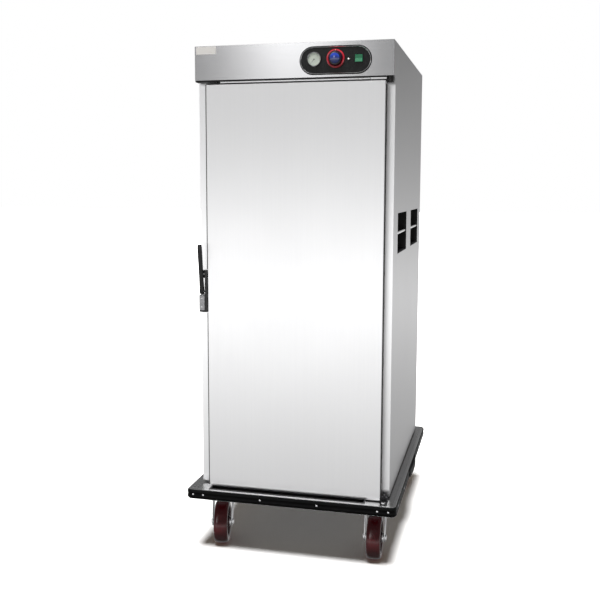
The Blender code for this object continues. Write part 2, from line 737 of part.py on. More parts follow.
def build_pan_and_heater():
    """Water pan hung by its flange on the lowest ledges, over the heater loop."""
    rim_z = PAN_LEDGE_Z + LEDGE_THICKNESS + GAP
    left, front, floor = PAN_LOW
    right, rear = PAN_HIGH
    wide, deep = PAN_FLANGE
    lap = PAN_SHEET / 2
    pan = box("water_pan", PAN_LOW, (right, rear, rim_z + lap), "stainless")
    rim = plate("pan_rim", [rounded(left - wide, front - deep, right + wide, rear + deep, 0.012),
                            rectangle(left + lap, front + lap, right - lap, rear - lap)],
                "Z", rim_z, rim_z + PAN_SHEET, CUTTER)
    hollow = box("pan_hollow", (left + PAN_SHEET, front + PAN_SHEET, floor + PAN_SHEET),
                 (right - PAN_SHEET, rear - PAN_SHEET, rim_z + 0.020), CUTTER)
    cut(join(pan, rim), hollow)
    tail = HEATER_TAIL_X
    side, near, far = HEATER_LOOP
    end = HEATER_TAIL_END
    corners = [(-tail, end), (-tail, far), (-side, far), (-side, near),
               (side, near), (side, far), (tail, far), (tail, end)]
    route = filleted([(x, y, HEATER_Z) for x, y in corners], HEATER_BEND)
    tube("heater_element", route, HEATER_RADIUS, "stainless")


def build_duct():
    """Slotted air duct on the rear wall, with the fan's round intake."""
    slots = joined("duct_slots", [
        box("slot", (side * SLOT_X - SLOT_HALF_LENGTH, DUCT_FRONT_Y - 0.010, z + SLOT_RISE[0]),
            (side * SLOT_X + SLOT_HALF_LENGTH, DUCT_FRONT_Y + 0.010, z + SLOT_RISE[1]), CUTTER)
        for z in ledge_heights()[1:-2] for side in (-1, 1)
    ])
    half = DUCT_HALF_WIDTH
    duct = plate("air_duct", [rectangle(-half, DUCT_BOTTOM, half, DUCT_TOP),
                              circle(0, FAN_Z, DUCT_INTAKE_RADIUS, 20)],
                 "Y", DUCT_FRONT_Y, DUCT_FRONT_Y + SHEET, "stainless")
    rim = plate("duct_rim", [
        rectangle(GAP - half, DUCT_BOTTOM + GAP, half - GAP, DUCT_TOP - GAP),
        rectangle(GAP + SHEET - half, DUCT_BOTTOM + GAP + SHEET, half - GAP - SHEET, DUCT_TOP - GAP - SHEET),
    ], "Y", DUCT_FRONT_Y + 0.0005, CHAMBER_REAR - 0.0015, CUTTER)
    cut(join(duct, rim), slots)


def build_fan():
    """Radial impeller in the duct, its shaft through the wall to the motor in the foam."""
    hub = [(0, 0.020), (0.014, 0.020), (0.014, 0.003), (0.072, 0.003), (0.072, 0.001),
           (0.014, 0.001), (0.004, -0.001), (0.004, -0.045), (0, -0.045)]
    impeller = turned("fan_impeller", hub, 20, "-Y", "stainless", (0, FAN_Y, FAN_Z))
    blades = []
    for i in range(FAN_BLADES):
        blade = box("blade", (0.044, -0.001, 0.002), (0.070, 0.001, 0.028), CUTTER)
        blade.data.transform(Matrix.Translation(blade.location))
        blade.location = (0, 0, 0)
        blade.data.transform(Matrix.Rotation(2 * math.pi * i / FAN_BLADES, 4, "Z"))
        blades.append(blade)
    vanes = joined("fan_vanes", blades)
    vanes.rotation_euler.x = math.pi / 2
    vanes.location = impeller.location
    join(impeller, vanes)
    case = [(0.0047, 0.025), (0.043, 0.025), (0.043, 0.022), (0.038, 0.020), (0.038, -0.022),
            (0.030, -0.027), (0.0047, -0.027)]
    turned("fan_motor", case, 20, "-Y", "black_plastic", (0, MOTOR_Y, FAN_Z))


def inlet_outline(grow):
    """The mains inlet's outline, enlarged all round."""
    half_x, half_z = INLET_HALF
    return rectangle(INLET_X - half_x - grow, INLET_Z - half_z - grow,
                     INLET_X + half_x + grow, INLET_Z + half_z + grow)


def build_probe_and_inlet():
    """Temperature bulb through the ceiling, and the mains inlet at the back."""
    rod("thermometer_probe", PROBE_RADIUS, "Z", CHAMBER_CEILING - 0.0555, CHAMBER_CEILING + 0.0395,
        (PROBE_X, PROBE_Y), "chrome", 16)
    inlet = plate("power_inlet", [inlet_outline(0.0)], "Y", INLET_FRONT_Y, REAR_Y + 0.0010, "black_plastic")
    flange = plate("inlet_flange", [rounded(INLET_X - 0.025, INLET_Z - 0.0145,
                                            INLET_X + 0.025, INLET_Z + 0.0145, 0.004)],
                   "Y", REAR_Y + GAP, REAR_Y + 0.0025, CUTTER)
    socket = plate("inlet_socket", [inlet_outline(-0.0021)], "Y", INLET_FRONT_Y + 0.013, REAR_Y + 0.020,
                   CUTTER)
    cut(join(inlet, flange), socket)


# ------------------------------------------------------------------------- controls
def build_control_plate():
    """Black stadium plate in a chrome rim, with holes for the instruments."""
    length = CONTROL_HALF_LENGTH
    height = CONTROL_HALF_HEIGHT
    rim = plate("control_bezel", [
        stadium(CONTROL_X, CONTROL_Z, length, height),
        stadium(CONTROL_X, CONTROL_Z, length - BEZEL_WIDTH, height - BEZEL_WIDTH),
    ], "Y", FRONT_Y - BEZEL_RISE, FRONT_Y - GAP, "chrome")
    soften(rim, 0.0010, 1, 60)
    inner = BEZEL_WIDTH + GAP
    plate("control_plate", [
        stadium(CONTROL_X, CONTROL_Z, length - inner, height - inner),
        circle(DIAL_X, DIAL_ROW_Z, 0.0209, 24),
        circle(KNOB_X, DIAL_ROW_Z, 0.0040, 16),
        circle(PILOT_X, PILOT_Z, 0.0034, 16),
        centred_square(SWITCH_HALF + GAP),
    ], "Y", PANEL_FACE_Y, FRONT_Y - GAP, "black_plastic")


def centred_square(half):
    """A square about the switch's centre."""
    return rectangle(SWITCH_X - half, DIAL_ROW_Z - half, SWITCH_X + half, DIAL_ROW_Z + half)


def build_thermometer():
    """Dial case with an open front, and the needle over its dial."""
    case = [(0, 0.0020), (0.0206, 0.0020), (0.0210, 0.0060), (0.0226, 0.0066), (0.0240, 0.0050),
            (0.0240, 0.0003), (0.0205, 0.0003), (0.0205, -0.0200), (0, -0.0200)]
    turned("thermometer_case", case, 24, "-Y", "dial_white", (DIAL_X, PANEL_FACE_Y, DIAL_ROW_Z))
    turn = Matrix.Rotation(math.radians(NEEDLE_ANGLE), 2)
    outline = [tuple(turn @ Vector(point)) for point in ((0, 0.0010), (0, -0.0010), (NEEDLE_LENGTH, 0))]
    centre = (DIAL_X, NEEDLE_Y, DIAL_ROW_Z)
    needle = plate("thermometer_needle", [circle(0, 0, 0.0022, 14)], "Y", -0.0004, 0.0004,
                   "needle_black", centre)
    join(needle, plate("needle_pointer", [outline], "Y", -0.0003, 0.0003, CUTTER, centre))


def build_knob():
    """Round knob: wide skirt, raised waist, domed cap and a shaft through the plate."""
    dome = [(0.0165 * math.sin(math.radians(a)), 0.0185 + 0.0080 * math.cos(math.radians(a)))
            for a in (0, 25, 50, 75)]
    profile = dome + [(0.0165, 0.0170), (0.0205, 0.0155), (0.0225, 0.0080), (0.0285, 0.0072),
                      (0.0300, 0.0055), (0.0300, 0.0006), (0.0036, 0.0006), (0.0036, -0.0150),
                      (0, -0.0150)]
    knob = turned("thermostat_knob", profile, 24, "-Y", "blue_knob", (KNOB_X, PANEL_FACE_Y, DIAL_ROW_Z))
    ridge = box("knob_pointer", (KNOB_X - 0.0012, PANEL_FACE_Y - 0.0085, DIAL_ROW_Z + 0.0215),
                (KNOB_X + 0.0012, PANEL_FACE_Y - 0.0040, DIAL_ROW_Z + 0.0285), CUTTER)
    join(knob, ridge)


def build_pilot_and_switch():
    """Small neon, and a rocker in its open housing."""
    lens = [(0, 0.0030), (0.0018, 0.0027), (0.0030, 0.0015), (0.0046, 0.0010), (0.0046, 0.0003),
            (0.0031, 0.0003), (0.0031, -0.0120), (0, -0.0120)]
    turned("pilot_lamp", lens, 20, "-Y", "lamp_white", (PILOT_X, PANEL_FACE_Y, PILOT_Z))
    body = plate("switch_body", [centred_square(SWITCH_HALF)], "Y",
                 PANEL_FACE_Y - 0.0010, FRONT_Y + 0.0200, "black_plastic")
    reach = SWITCH_HALF + SWITCH_FLANGE
    flange = plate("switch_flange", [rounded(SWITCH_X - reach, DIAL_ROW_Z - reach, SWITCH_X + reach,
                                             DIAL_ROW_Z + reach, 0.002)],
                   "Y", PANEL_FACE_Y - 0.0018, PANEL_FACE_Y - GAP, CUTTER)
    hollow = plate("switch_hollow", [centred_square(SWITCH_HALF - SWITCH_WALL)], "Y",
                   PANEL_FACE_Y - 0.010, FRONT_Y + 0.0120, CUTTER)
    cut(join(body, flange), hollow)
    outline = [(-0.0060, -0.0112), (-0.0044, 0.0), (-0.0060, 0.0112), (0.0030, 0.0100), (0.0055, 0.0),
               (0.0030, -0.0100)]
    tilt = Matrix.Rotation(math.radians(ROCKER_TILT), 2)
    half = SWITCH_HALF - SWITCH_WALL - 0.0004
    plate("switch_rocker", [[tuple(tilt @ Vector(point)) for point in outline]], "X", -half, half,
          "green_lens", (SWITCH_X, ROCKER_PIVOT_Y, DIAL_ROW_Z))


# ----------------------------------------------------------------------------- door
def build_door(hinge):
    """Outer pan, foam core, inner sheet and gasket, all hung on the hinge line."""
    y0 = FRONT_Y
    y1 = FRONT_Y + DOOR_THICKNESS
    skin = box("door_skin", (DOOR_LEFT, y0, DOOR_BOTTOM), (DOOR_RIGHT, y1, DOOR_TOP), "stainless", hinge)
    soften(skin, 0.0010, 2)
    inside = ((DOOR_LEFT + SHEET, y0 + SHEET, DOOR_BOTTOM + SHEET),
              (DOOR_RIGHT - SHEET, y1 + 0.020, DOOR_TOP - SHEET))
    cut(skin, box("door_hollow", *inside, CUTTER, hinge))
    clear = SHEET + GAP
    box("door_core", (DOOR_LEFT + clear, y0 + clear, DOOR_BOTTOM + clear),
        (DOOR_RIGHT - clear, y1 - clear, DOOR_TOP - clear), "insulation", hinge)
    box("door_liner", (DOOR_LEFT + clear, y1 - SHEET, DOOR_BOTTOM + clear),
        (DOOR_RIGHT - clear, y1, DOOR_TOP - clear), "stainless", hinge)
    gasket = plate("door_gasket", [
        rounded(GASKET_LEFT, GASKET_BOTTOM, GASKET_RIGHT, GASKET_TOP, 0.004, 3),
        rounded(GASKET_LEFT + GASKET_WIDTH, GASKET_BOTTOM + GASKET_WIDTH,
                GASKET_RIGHT - GASKET_WIDTH, GASKET_TOP - GASKET_WIDTH, 0.003, 3),
    ], "Y", y1 + GAP, POST_FACE_Y - GAP, "black_rubber", parent=hinge)
    soften(gasket, 0.0012, 1, 60)


def hinge_rod(name, radius, low, high, material=CUTTER, parent=None):
    """An upright round on the hinge's axis."""
    return rod(name, radius, "Z", low, high, (HINGE_X, HINGE_Y), material, 20, parent)


def build_hinge_brackets():
    """Plates on the header and on the deck, each with a fixed pin."""
    reach = BRACKET_REACH
    back = POST_FACE_Y - GAP
    nose = arc(HINGE_X, HINGE_Y, reach, 180, 360, 10)
    foot = [(HINGE_X + reach, back), (HINGE_X - reach, back)]
    bracket = plate("hinge_bracket_top", [nose + foot], "Z", DOOR_TOP + 0.0027, HEADER_BOTTOM - GAP,
                    "latch_black")
    join(bracket, hinge_rod("pin_top", PIN_RADIUS, DOOR_TOP - 0.0080, DOOR_TOP + 0.0060))
    base = BASE_TOP + GAP
    plan = rounded(HINGE_X - reach, FRONT_Y - 0.0260, HINGE_X + reach, back + 0.0120, 0.004, 3)
    bracket = plate("hinge_bracket_bottom", [plan], "Z", base, base + 0.0020, "latch_black")
    join(bracket, hinge_rod("pin_bottom", PIN_RADIUS, base + 0.0010, DOOR_BOTTOM + 0.0150))


def build_hinge_straps(hinge):
    """Knuckles that turn on the pins, each with a leaf on the door."""
    bore = PIN_RADIUS + 0.0004
    leaf_y = (FRONT_Y + 0.003, FRONT_Y + 0.027)
    top = DOOR_TOP + 0.0024
    strap = hinge_rod("hinge_strap_top", KNUCKLE_RADIUS, DOOR_TOP - 0.0073, top, "latch_black", hinge)
    leaf = box("leaf_top", (TOP_LEAF_END, leaf_y[0], DOOR_TOP + GAP), (HINGE_X, leaf_y[1], top - 0.0002),
               CUTTER, hinge)
    hole = hinge_rod("bore_top", bore, DOOR_TOP - 0.020, DOOR_TOP + 0.020, CUTTER, hinge)
    cut(join(strap, leaf), hole)
    low = BASE_TOP + 0.0026
    strap = hinge_rod("hinge_strap_bottom", KNUCKLE_RADIUS, low, DOOR_BOTTOM + 0.0115, "latch_black", hinge)
    leaf = box("leaf_bottom", (DOOR_RIGHT + GAP, leaf_y[0], DOOR_BOTTOM + 0.0020),
               (DOOR_RIGHT + 0.0025, leaf_y[1], DOOR_BOTTOM + 0.0600), CUTTER, hinge)
    web = box("leaf_web", (DOOR_RIGHT + 0.0010, HINGE_Y - 0.0060, DOOR_BOTTOM + 0.0025),
              (HINGE_X - 0.0050, HINGE_Y + 0.0060, DOOR_BOTTOM + 0.0110), CUTTER, hinge)
    hole = hinge_rod("bore_bottom", bore, low - 0.010, DOOR_BOTTOM + 0.030, CUTTER, hinge)
    cut(join(strap, web, leaf), hole)


def build_latch(hinge):
    """Edge-mounted latch: base and magnet housing, paddle lever on a pin, strike on the post."""
    lap = LATCH_PLATE_X + 0.0010
    base = box("latch_base", (LATCH_PLATE_X, FRONT_Y - 0.0040, LATCH_BOTTOM),
               (DOOR_LEFT - GAP, FRONT_Y + 0.0280, LATCH_TOP), "latch_black", hinge)
    housing = box("magnet_housing", (MAGNET_LEFT, FRONT_Y - 0.0060, LATCH_BOTTOM + 0.0004),
                  (lap, FRONT_Y + 0.0355, MAGNET_TOP), CUTTER, hinge)
    tab = box("latch_tab", (LATCH_PLATE_X - 0.0090, FRONT_Y + 0.0040, LATCH_TOP - 0.0280),
              (lap, FRONT_Y + 0.0160, LATCH_TOP - 0.0004), CUTTER, hinge)
    pin = rod("lever_pin", LEVER_PIN, "X", LEVER_X[0] - 0.0008, LATCH_PLATE_X + 0.0005,
              (LATCH_PIVOT_Y, LATCH_PIVOT_Z), CUTTER, 16, hinge)
    join(base, housing, tab, pin)
    outline = [(0.0085, -0.0060), (0.0075, 0.0100), (-0.0120, 0.1400), (-0.0160, 0.1590),
               (-0.0235, 0.1630), (-0.0262, 0.1500), (-0.0105, 0.0120), (-0.0097, -0.0040),
               (-0.0050, -0.0104), (0.0040, -0.0108)]
    plate("latch_lever", [outline, circle(0, 0, LEVER_BORE, 16)], "X", *LEVER_X, "latch_black",
          (0, LATCH_PIVOT_Y, LATCH_PIVOT_Z), hinge)
    box("latch_strike", (MAGNET_LEFT + 0.0010, FRONT_Y + 0.0363, LATCH_BOTTOM + 0.0060),
        (LATCH_PLATE_X - 0.0015, POST_FACE_Y - GAP, MAGNET_TOP - 0.0060), "stainless")


# -------------------------------------------------------------------------- casters
def caster_fork():
    """Chrome fork in the caster's own frame: swivel head, crown, two legs and the axle."""
    head = [(0, 0.1845), (0.034, 0.1845), (0.036, 0.1780), (0.030, 0.1700), (0.024, 0.1600),
            (0.024, 0.1560), (0, 0.1560)]
    fork = turned("caster_fork", head, 16, "Z", "chrome", (0, 0, 0))
    outer = FORK_INNER + FORK_SHEET
    crown = box("crown", (-outer, -0.040, 0.1555), (outer, 0.034, 0.1600), CUTTER)
    foot = arc(-CASTER_TRAIL, WHEEL_RADIUS, 0.017, 180, 345, 5)
    legs = joined("legs", [
        plate("leg", [foot + [(0.034, 0.1590), (-0.040, 0.1590)]], "X", low, low + FORK_SHEET, CUTTER)
        for low in (FORK_INNER, -outer)
    ])
    centre = (-CASTER_TRAIL, WHEEL_RADIUS)
    axle = rod("axle", AXLE_RADIUS, "X", 0.0005 - AXLE_HALF_LENGTH, AXLE_HALF_LENGTH - 0.0005, centre,
               CUTTER, 20)
    nut = AXLE_HALF_LENGTH - outer + 0.0005
    nuts = joined("axle_nuts", [
        plate("nut", [circle(*centre, NUT_RADIUS, 6)], "X", low, low + nut, CUTTER)
        for low in (outer - 0.0005, -AXLE_HALF_LENGTH)
    ])
    join(fork, crown, legs, axle, nuts)
    mesh = settle(fork)
    bpy.data.objects.remove(fork)
    return mesh


def caster_wheel():
    """Wheel about its own axle: rounded tread, dished sides, hub and bore."""
    half = WHEEL_HALF_WIDTH
    hub = half + HUB_OVERHANG
    r = WHEEL_RADIUS
    tread = [(r - 0.010, half), (r - 0.002, half - 0.005), (r, half - 0.013)]
    side = [(AXLE_RADIUS + 0.0006, hub), (0.017, hub), (0.019, half - 0.006), (0.051, half - 0.006),
            (0.055, half)]
    top = side + tread
    bottom = [(radius, -height) for radius, height in reversed(top)]
    wheel = turned("wheel", top + bottom, 28, "X", "red_wheel", (0, 0, 0))
    mesh = settle(wheel)
    mesh.transform(wheel.matrix_basis)
    bpy.data.objects.remove(wheel)
    return mesh


def build_casters():
    """Four swivel casters; each turns on its own empty and its wheel sits on its axle."""
    fork_mesh = caster_fork()
    wheel_mesh = caster_wheel()
    for word, (x, y, turn) in CASTERS.items():
        swivel = pivot_empty("swivel_" + word, (x, y, 0), math.radians(turn))
        fork = place("caster_fork_" + word, fork_mesh, "chrome", (0, 0, 0))
        fork.parent = swivel
        wheel = place("wheel_" + word, wheel_mesh, "red_wheel", (0, -CASTER_TRAIL, WHEEL_RADIUS))
        wheel.parent = swivel


def main():
    """Build the whole cabinet."""
    build_deck()
    build_base_frame()
    build_bumper()
    build_joint_covers()
    build_drip_tray()
    build_casing()
    build_fascia()
    build_front_frame()
    build_liner()
    build_insulation(build_grips())
    build_racks()
    build_pan_and_heater()
    build_duct()
    build_fan()
    build_probe_and_inlet()
    build_control_plate()
    build_thermometer()
    build_knob()
    build_pilot_and_switch()
    build_hinge_brackets()
    hinge = pivot_empty("door_hinge", (HINGE_X, HINGE_Y, 0))
    build_door(hinge)
    build_hinge_straps(hinge)
    build_latch(hinge)
    build_casters()


main()
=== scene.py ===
"""Looks of the mobile proofing cabinet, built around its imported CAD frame.

Every place is in metres in the CAD frame: +Z up, the door faces -Y, the origin on the floor.
"""

import json
import math

import bmesh
import bpy
from mathutils import Matrix, Vector


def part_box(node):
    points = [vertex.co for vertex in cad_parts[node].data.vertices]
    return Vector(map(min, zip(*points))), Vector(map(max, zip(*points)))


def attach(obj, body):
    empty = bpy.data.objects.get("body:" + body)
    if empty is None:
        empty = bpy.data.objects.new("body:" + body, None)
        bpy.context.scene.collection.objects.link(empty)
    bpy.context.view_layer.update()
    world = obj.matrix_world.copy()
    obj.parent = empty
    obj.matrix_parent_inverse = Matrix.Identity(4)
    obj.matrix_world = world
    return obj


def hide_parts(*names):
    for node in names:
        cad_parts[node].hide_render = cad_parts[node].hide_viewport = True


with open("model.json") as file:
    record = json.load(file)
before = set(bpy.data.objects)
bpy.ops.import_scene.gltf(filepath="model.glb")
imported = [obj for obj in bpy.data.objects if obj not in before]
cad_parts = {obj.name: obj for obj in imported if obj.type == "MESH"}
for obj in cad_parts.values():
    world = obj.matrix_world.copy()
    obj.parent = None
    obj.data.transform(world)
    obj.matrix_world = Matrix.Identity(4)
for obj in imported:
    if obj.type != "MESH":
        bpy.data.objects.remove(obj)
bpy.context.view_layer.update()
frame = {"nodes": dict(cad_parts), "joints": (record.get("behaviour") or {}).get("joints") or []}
NODES = frame["nodes"]
JOINTS = {joint["name"]: joint for joint in frame["joints"]}

CASTERS = ("front_left", "front_right", "rear_left", "rear_right")
CASTER_TRAIL = 0.038
WHEEL_RADIUS = 0.075
BUMPER_HALF = Vector((0.3705, 0.4925))
CORNER_RADIUS = 0.020
BUMPER_SCREWS_X = (-0.344, -0.307, -0.100, 0.100, 0.307, 0.344)
BUMPER_SCREWS_Y = (-0.420, -0.250, 0.250, 0.420)
CASTER_PLATE_FACE = 0.1838
RACK_SCREWS_Z = (0.300, 0.590, 1.020, 1.450, 1.570)
RACK_SHEET = 0.0012
LATCH_BOTTOM = 0.852
LATCH_TOP = 0.998
LATCH_PLATE_X = -0.3075
LATCH_OUTER_X = -0.3284
MAGNET_TOP = 0.9118


# ------------------------ mesh tools
AXES = {
    "Z": Matrix.Identity(4),
    "-Z": Matrix.Rotation(math.pi, 4, "X"),
    "-Y": Matrix.Rotation(math.pi / 2, 4, "X"),
    "Y": Matrix.Rotation(-math.pi / 2, 4, "X"),
    "X": Matrix.Rotation(math.pi / 2, 4, "Y"),
    "-X": Matrix.Rotation(-math.pi / 2, 4, "Y"),
}


def rings(bm, loops, closed=False, cap=True):
    """Skin successive loops of equal length; cap the ends, or close the last on the first."""
    rows = [[bm.verts.new(point) for point in loop] for loop in loops]
    pairs = list(zip(rows, rows[1:]))
    if closed:
        pairs.append((rows[-1], rows[0]))
    faces = []
    for low, high in pairs:
        count = len(low)
        for i in range(count):
            j = (i + 1) % count
            faces.append(bm.faces.new((low[i], low[j], high[j], high[i])))
    if cap and not closed:
        faces.append(bm.faces.new(rows[0][::-1]))
        faces.append(bm.faces.new(rows[-1]))
    return faces


def round_edges(bm, faces, width, segments, angle=30):
    """Bevel the sharp edges among some faces."""
    edges = {edge for face in faces for edge in face.edges}
    sharp = [
        edge for edge in edges
        if len(edge.link_faces) == 2 and edge.calc_face_angle(0) > math.radians(angle)
    ]
    bmesh.ops.bevel(bm, geom=sharp, offset=width, segments=segments, profile=0.5,
                    affect="EDGES", clamp_overlap=True)


def add_box(bm, low, high, bevel=0.0, segments=3):
    """A block between two corners, its edges rounded."""
    low = Vector(low)
    high = Vector(high)
    matrix = Matrix.Translation((low + high) / 2) @ Matrix.Diagonal((*(high - low), 1.0))
    made = bmesh.ops.create_cube(bm, size=1.0, matrix=matrix)
    faces = {face for vert in made["verts"] for face in vert.link_faces}
    if bevel:
        round_edges(bm, faces, bevel, segments)


def add_lathe(bm, profile, steps, origin, axis):
    """A profile of (radius, height), bottom to top, turned about an axis through origin."""
    matrix = Matrix.Translation(origin) @ AXES[axis]
    loops = [
        [matrix @ Vector((radius * math.cos(a), radius * math.sin(a), height))
         for a in (2 * math.pi * i / steps for i in range(steps))]
        for radius, height in profile
    ]
    rings(bm, loops)


def add_ring_lathe(bm, profile, steps, origin, axis):
    """A closed profile that stays clear of the axis, turned into a ring."""
    matrix = Matrix.Translation(origin) @ AXES[axis]
    loops = [
        [matrix @ Vector((radius * math.cos(a), radius * math.sin(a), height))
         for radius, height in profile]
        for a in (2 * math.pi * i / steps for i in range(steps))
    ]
    rings(bm, loops, closed=True)


def add_prism(bm, outline, axis, low, high, bevel=0.0, segments=2):
    """A flat outline extruded along an axis: (u, v) are the other two axes in X, Y, Z order."""
    def lift(u, v, w):
        return {"X": (w, u, v), "Y": (u, w, v), "Z": (u, v, w)}[axis]

    faces = rings(bm, [[lift(u, v, w) for u, v in outline] for w in (low, high)])
    bmesh.ops.recalc_face_normals(bm, faces=faces)
    if bevel:
        round_edges(bm, faces, bevel, segments)


def add_tube(bm, path, radius, steps=12, closed=False):
    """A round wire along a path of points."""
    path = [Vector(point) for point in path]
    count = len(path)
    loops = []
    side = None
    for i, point in enumerate(path):
        before = path[i - 1] if i or closed else point
        after = path[(i + 1) % count] if i < count - 1 or closed else point
        along = (after - before).normalized()
        if side is None:
            side = along.orthogonal().normalized()
        side = (side - along * side.dot(along)).normalized()
        other = along.cross(side)
        loops.append([
            point + (side * math.cos(a) + other * math.sin(a)) * radius
            for a in (2 * math.pi * k / steps for k in range(steps))
        ])
    rings(bm, loops, closed=closed)


def arc(u, v, radius, start, end, steps):
    """Points on an arc, angles in degrees."""
    angles = [math.radians(start + (end - start) * i / steps) for i in range(steps + 1)]
    return [(u + radius * math.cos(a), v + radius * math.sin(a)) for a in angles]


def rounded(u0, v0, u1, v1, radius, steps=6):
    """A rectangle's outline with round corners."""
    return (
        arc(u1 - radius, v0 + radius, radius, -90, 0, steps)
        + arc(u1 - radius, v1 - radius, radius, 0, 90, steps)
        + arc(u0 + radius, v1 - radius, radius, 90, 180, steps)
        + arc(u0 + radius, v0 + radius, radius, 180, 270, steps)
    )


def stadium(u, v, half_length, half_height, steps=24):
    """A slot's outline with half-round ends."""
    reach = half_length - half_height
    return (
        arc(u + reach, v, half_height, -90, 90, steps)
        + arc(u - reach, v, half_height, 90, 270, steps)
    )


def piece(name, bm, material, body, replaces=(), smooth=35):
    """Turn a bmesh into a finished piece that rides on a body."""
    bmesh.ops.recalc_face_normals(bm, faces=bm.faces)
    mesh = bpy.data.meshes.new(name)
    bm.to_mesh(mesh)
    bm.free()
    mesh.shade_smooth()
    mesh.set_sharp_from_angle(angle=math.radians(smooth))
    mesh.materials.append(material)
    obj = bpy.data.objects.new(name, mesh)
    bpy.context.scene.collection.objects.link(obj)
    weighted = obj.modifiers.new("weighted", "WEIGHTED_NORMAL")
    weighted.keep_sharp = True
    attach(obj, body)
    if replaces:
        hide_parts(*replaces)
    return obj


def dress(node, material, bevel=0.0, segments=2):
    """Give a CAD node its material, and a fine radius on its folded edges."""
    obj = NODES[node]
    obj.data.materials.clear()
    obj.data.materials.append(material)
    if bevel:
        weld = obj.modifiers.new("weld", "WELD")
        weld.merge_threshold = 0.00001
        edge = obj.modifiers.new("edge", "BEVEL")
        edge.width = bevel
        edge.segments = segments
        edge.limit_method = "ANGLE"
        edge.angle_limit = math.radians(40)
        edge.harden_normals = True


# ------------------------ materials
def make_material(name):
    """An empty Principled material and the tools to fill it."""
    material = bpy.data.materials.new(name)
    material.use_nodes = True
    tree = material.node_tree
    return material, tree, tree.nodes["Principled BSDF"]


def add_node(tree, kind, links=None, **values):
    """A node with some inputs set by name and others linked from sockets."""
    made = tree.nodes.new(kind)
    for key, value in values.items():
        made.inputs[key.replace("_", " ")].default_value = value
    for key, socket in (links or {}).items():
        tree.links.new(socket, made.inputs[key])
    return made


def object_noise(tree, scale, stretch=(1, 1, 1), detail=3.0):
    """Noise in the object's own metres; stretch scales each axis."""
    place = tree.nodes.new("ShaderNodeTexCoord")
    mapping = add_node(tree, "ShaderNodeMapping", {"Vector": place.outputs["Object"]}, Scale=stretch)
    return add_node(tree, "ShaderNodeTexNoise", {"Vector": mapping.outputs["Vector"]},
                    Scale=scale, Detail=detail).outputs["Fac"]


def spread(tree, socket, low, high, start=0.3, end=0.7):
    """Map a noise socket's useful range to low..high."""
    mapped = add_node(tree, "ShaderNodeMapRange", {"Value": socket})
    for key, value in (("From Min", start), ("From Max", end), ("To Min", low), ("To Max", high)):
        mapped.inputs[key].default_value = value
    return mapped.outputs["Result"]


def blend_colours(tree, factor, first, second):
    """A colour between two, by a socket."""
    mix = tree.nodes.new("ShaderNodeMix")
    mix.data_type = "RGBA"
    tree.links.new(factor, mix.inputs[0])
    mix.inputs[6].default_value = (*first, 1)
    mix.inputs[7].default_value = (*second, 1)
    return mix.outputs[2]


def bump(tree, shader, height, strength, distance):
    """Fine relief from a height socket."""
    made = add_node(tree, "ShaderNodeBump", {"Height": height}, Strength=strength, Distance=distance)
    tree.links.new(made.outputs["Normal"], shader.inputs["Normal"])


GRAINS = {"X": (0.010, 1, 1), "Y": (1, 0.010, 1), "Z": (1, 1, 0.010)}


def steel(name, tone, grain, roughness, anisotropy):
    """Satin stainless sheet, brushed along one axis: its reflections smear across the grain."""
    material, tree, shader = make_material(name)
    fine = object_noise(tree, 1600, GRAINS[grain], 4)
    broad = object_noise(tree, 260, GRAINS[grain], 3)
    smudge = object_noise(tree, 4, detail=4)
    dark = tuple(channel * 0.985 for channel in tone)
    tree.links.new(blend_colours(tree, spread(tree, broad, 0, 1), dark, tone), shader.inputs["Base Color"])
    rough = add_node(tree, "ShaderNodeMath", {0: spread(tree, fine, roughness - 0.025, roughness + 0.025),
                                               1: spread(tree, smudge, -0.010, 0.015)})
    tree.links.new(rough.outputs[0], shader.inputs["Roughness"])
    shader.inputs["Metallic"].default_value = 1.0
    shader.inputs["Anisotropic"].default_value = anisotropy
    shader.inputs["Anisotropic Rotation"].default_value = 0.25 if grain == "X" else 0.0
    tangent = tree.nodes.new("ShaderNodeTangent")
    tangent.direction_type = "RADIAL"
    tangent.axis = "Z"
    tree.links.new(tangent.outputs["Tangent"], shader.inputs["Tangent"])
    bump(tree, shader, fine, 0.04, 0.0001)
    return material


def metal(name, tone, roughness, grime=0.06):
    """Plated or cast metal with slight wear in its gloss."""
    material, tree, shader = make_material(name)
    patch = object_noise(tree, 60, detail=5)
    dark = tuple(channel * (1 - grime) for channel in tone)
    tree.links.new(blend_colours(tree, spread(tree, patch, 0, 1), dark, tone), shader.inputs["Base Color"])
    tree.links.new(spread(tree, patch, roughness * 0.75, roughness * 1.35), shader.inputs["Roughness"])
    shader.inputs["Metallic"].default_value = 1.0
    bump(tree, shader, object_noise(tree, 900, detail=2), 0.05, 0.0001)
    return material


def plastic(name, tone, roughness, grain=2200, relief=0.12, coat=0.0, lift=1.6, gloss=0.25):
    """Moulded plastic, rubber or paint with a fine texture and faint dust."""
    material, tree, shader = make_material(name)
    cloud = object_noise(tree, 45, detail=5)
    light = tuple(min(1.0, channel * lift + 0.002) for channel in tone)
    tree.links.new(blend_colours(tree, spread(tree, cloud, 0, 1, 0.4, 0.8), tone, light),
                   shader.inputs["Base Color"])
    tree.links.new(spread(tree, cloud, roughness * 0.85, roughness * 1.2), shader.inputs["Roughness"])
    shader.inputs["Specular IOR Level"].default_value = gloss
    shader.inputs["Coat Weight"].default_value = coat
    shader.inputs["Coat Roughness"].default_value = 0.08
    bump(tree, shader, object_noise(tree, grain, detail=2), relief, 0.0002)
    return material


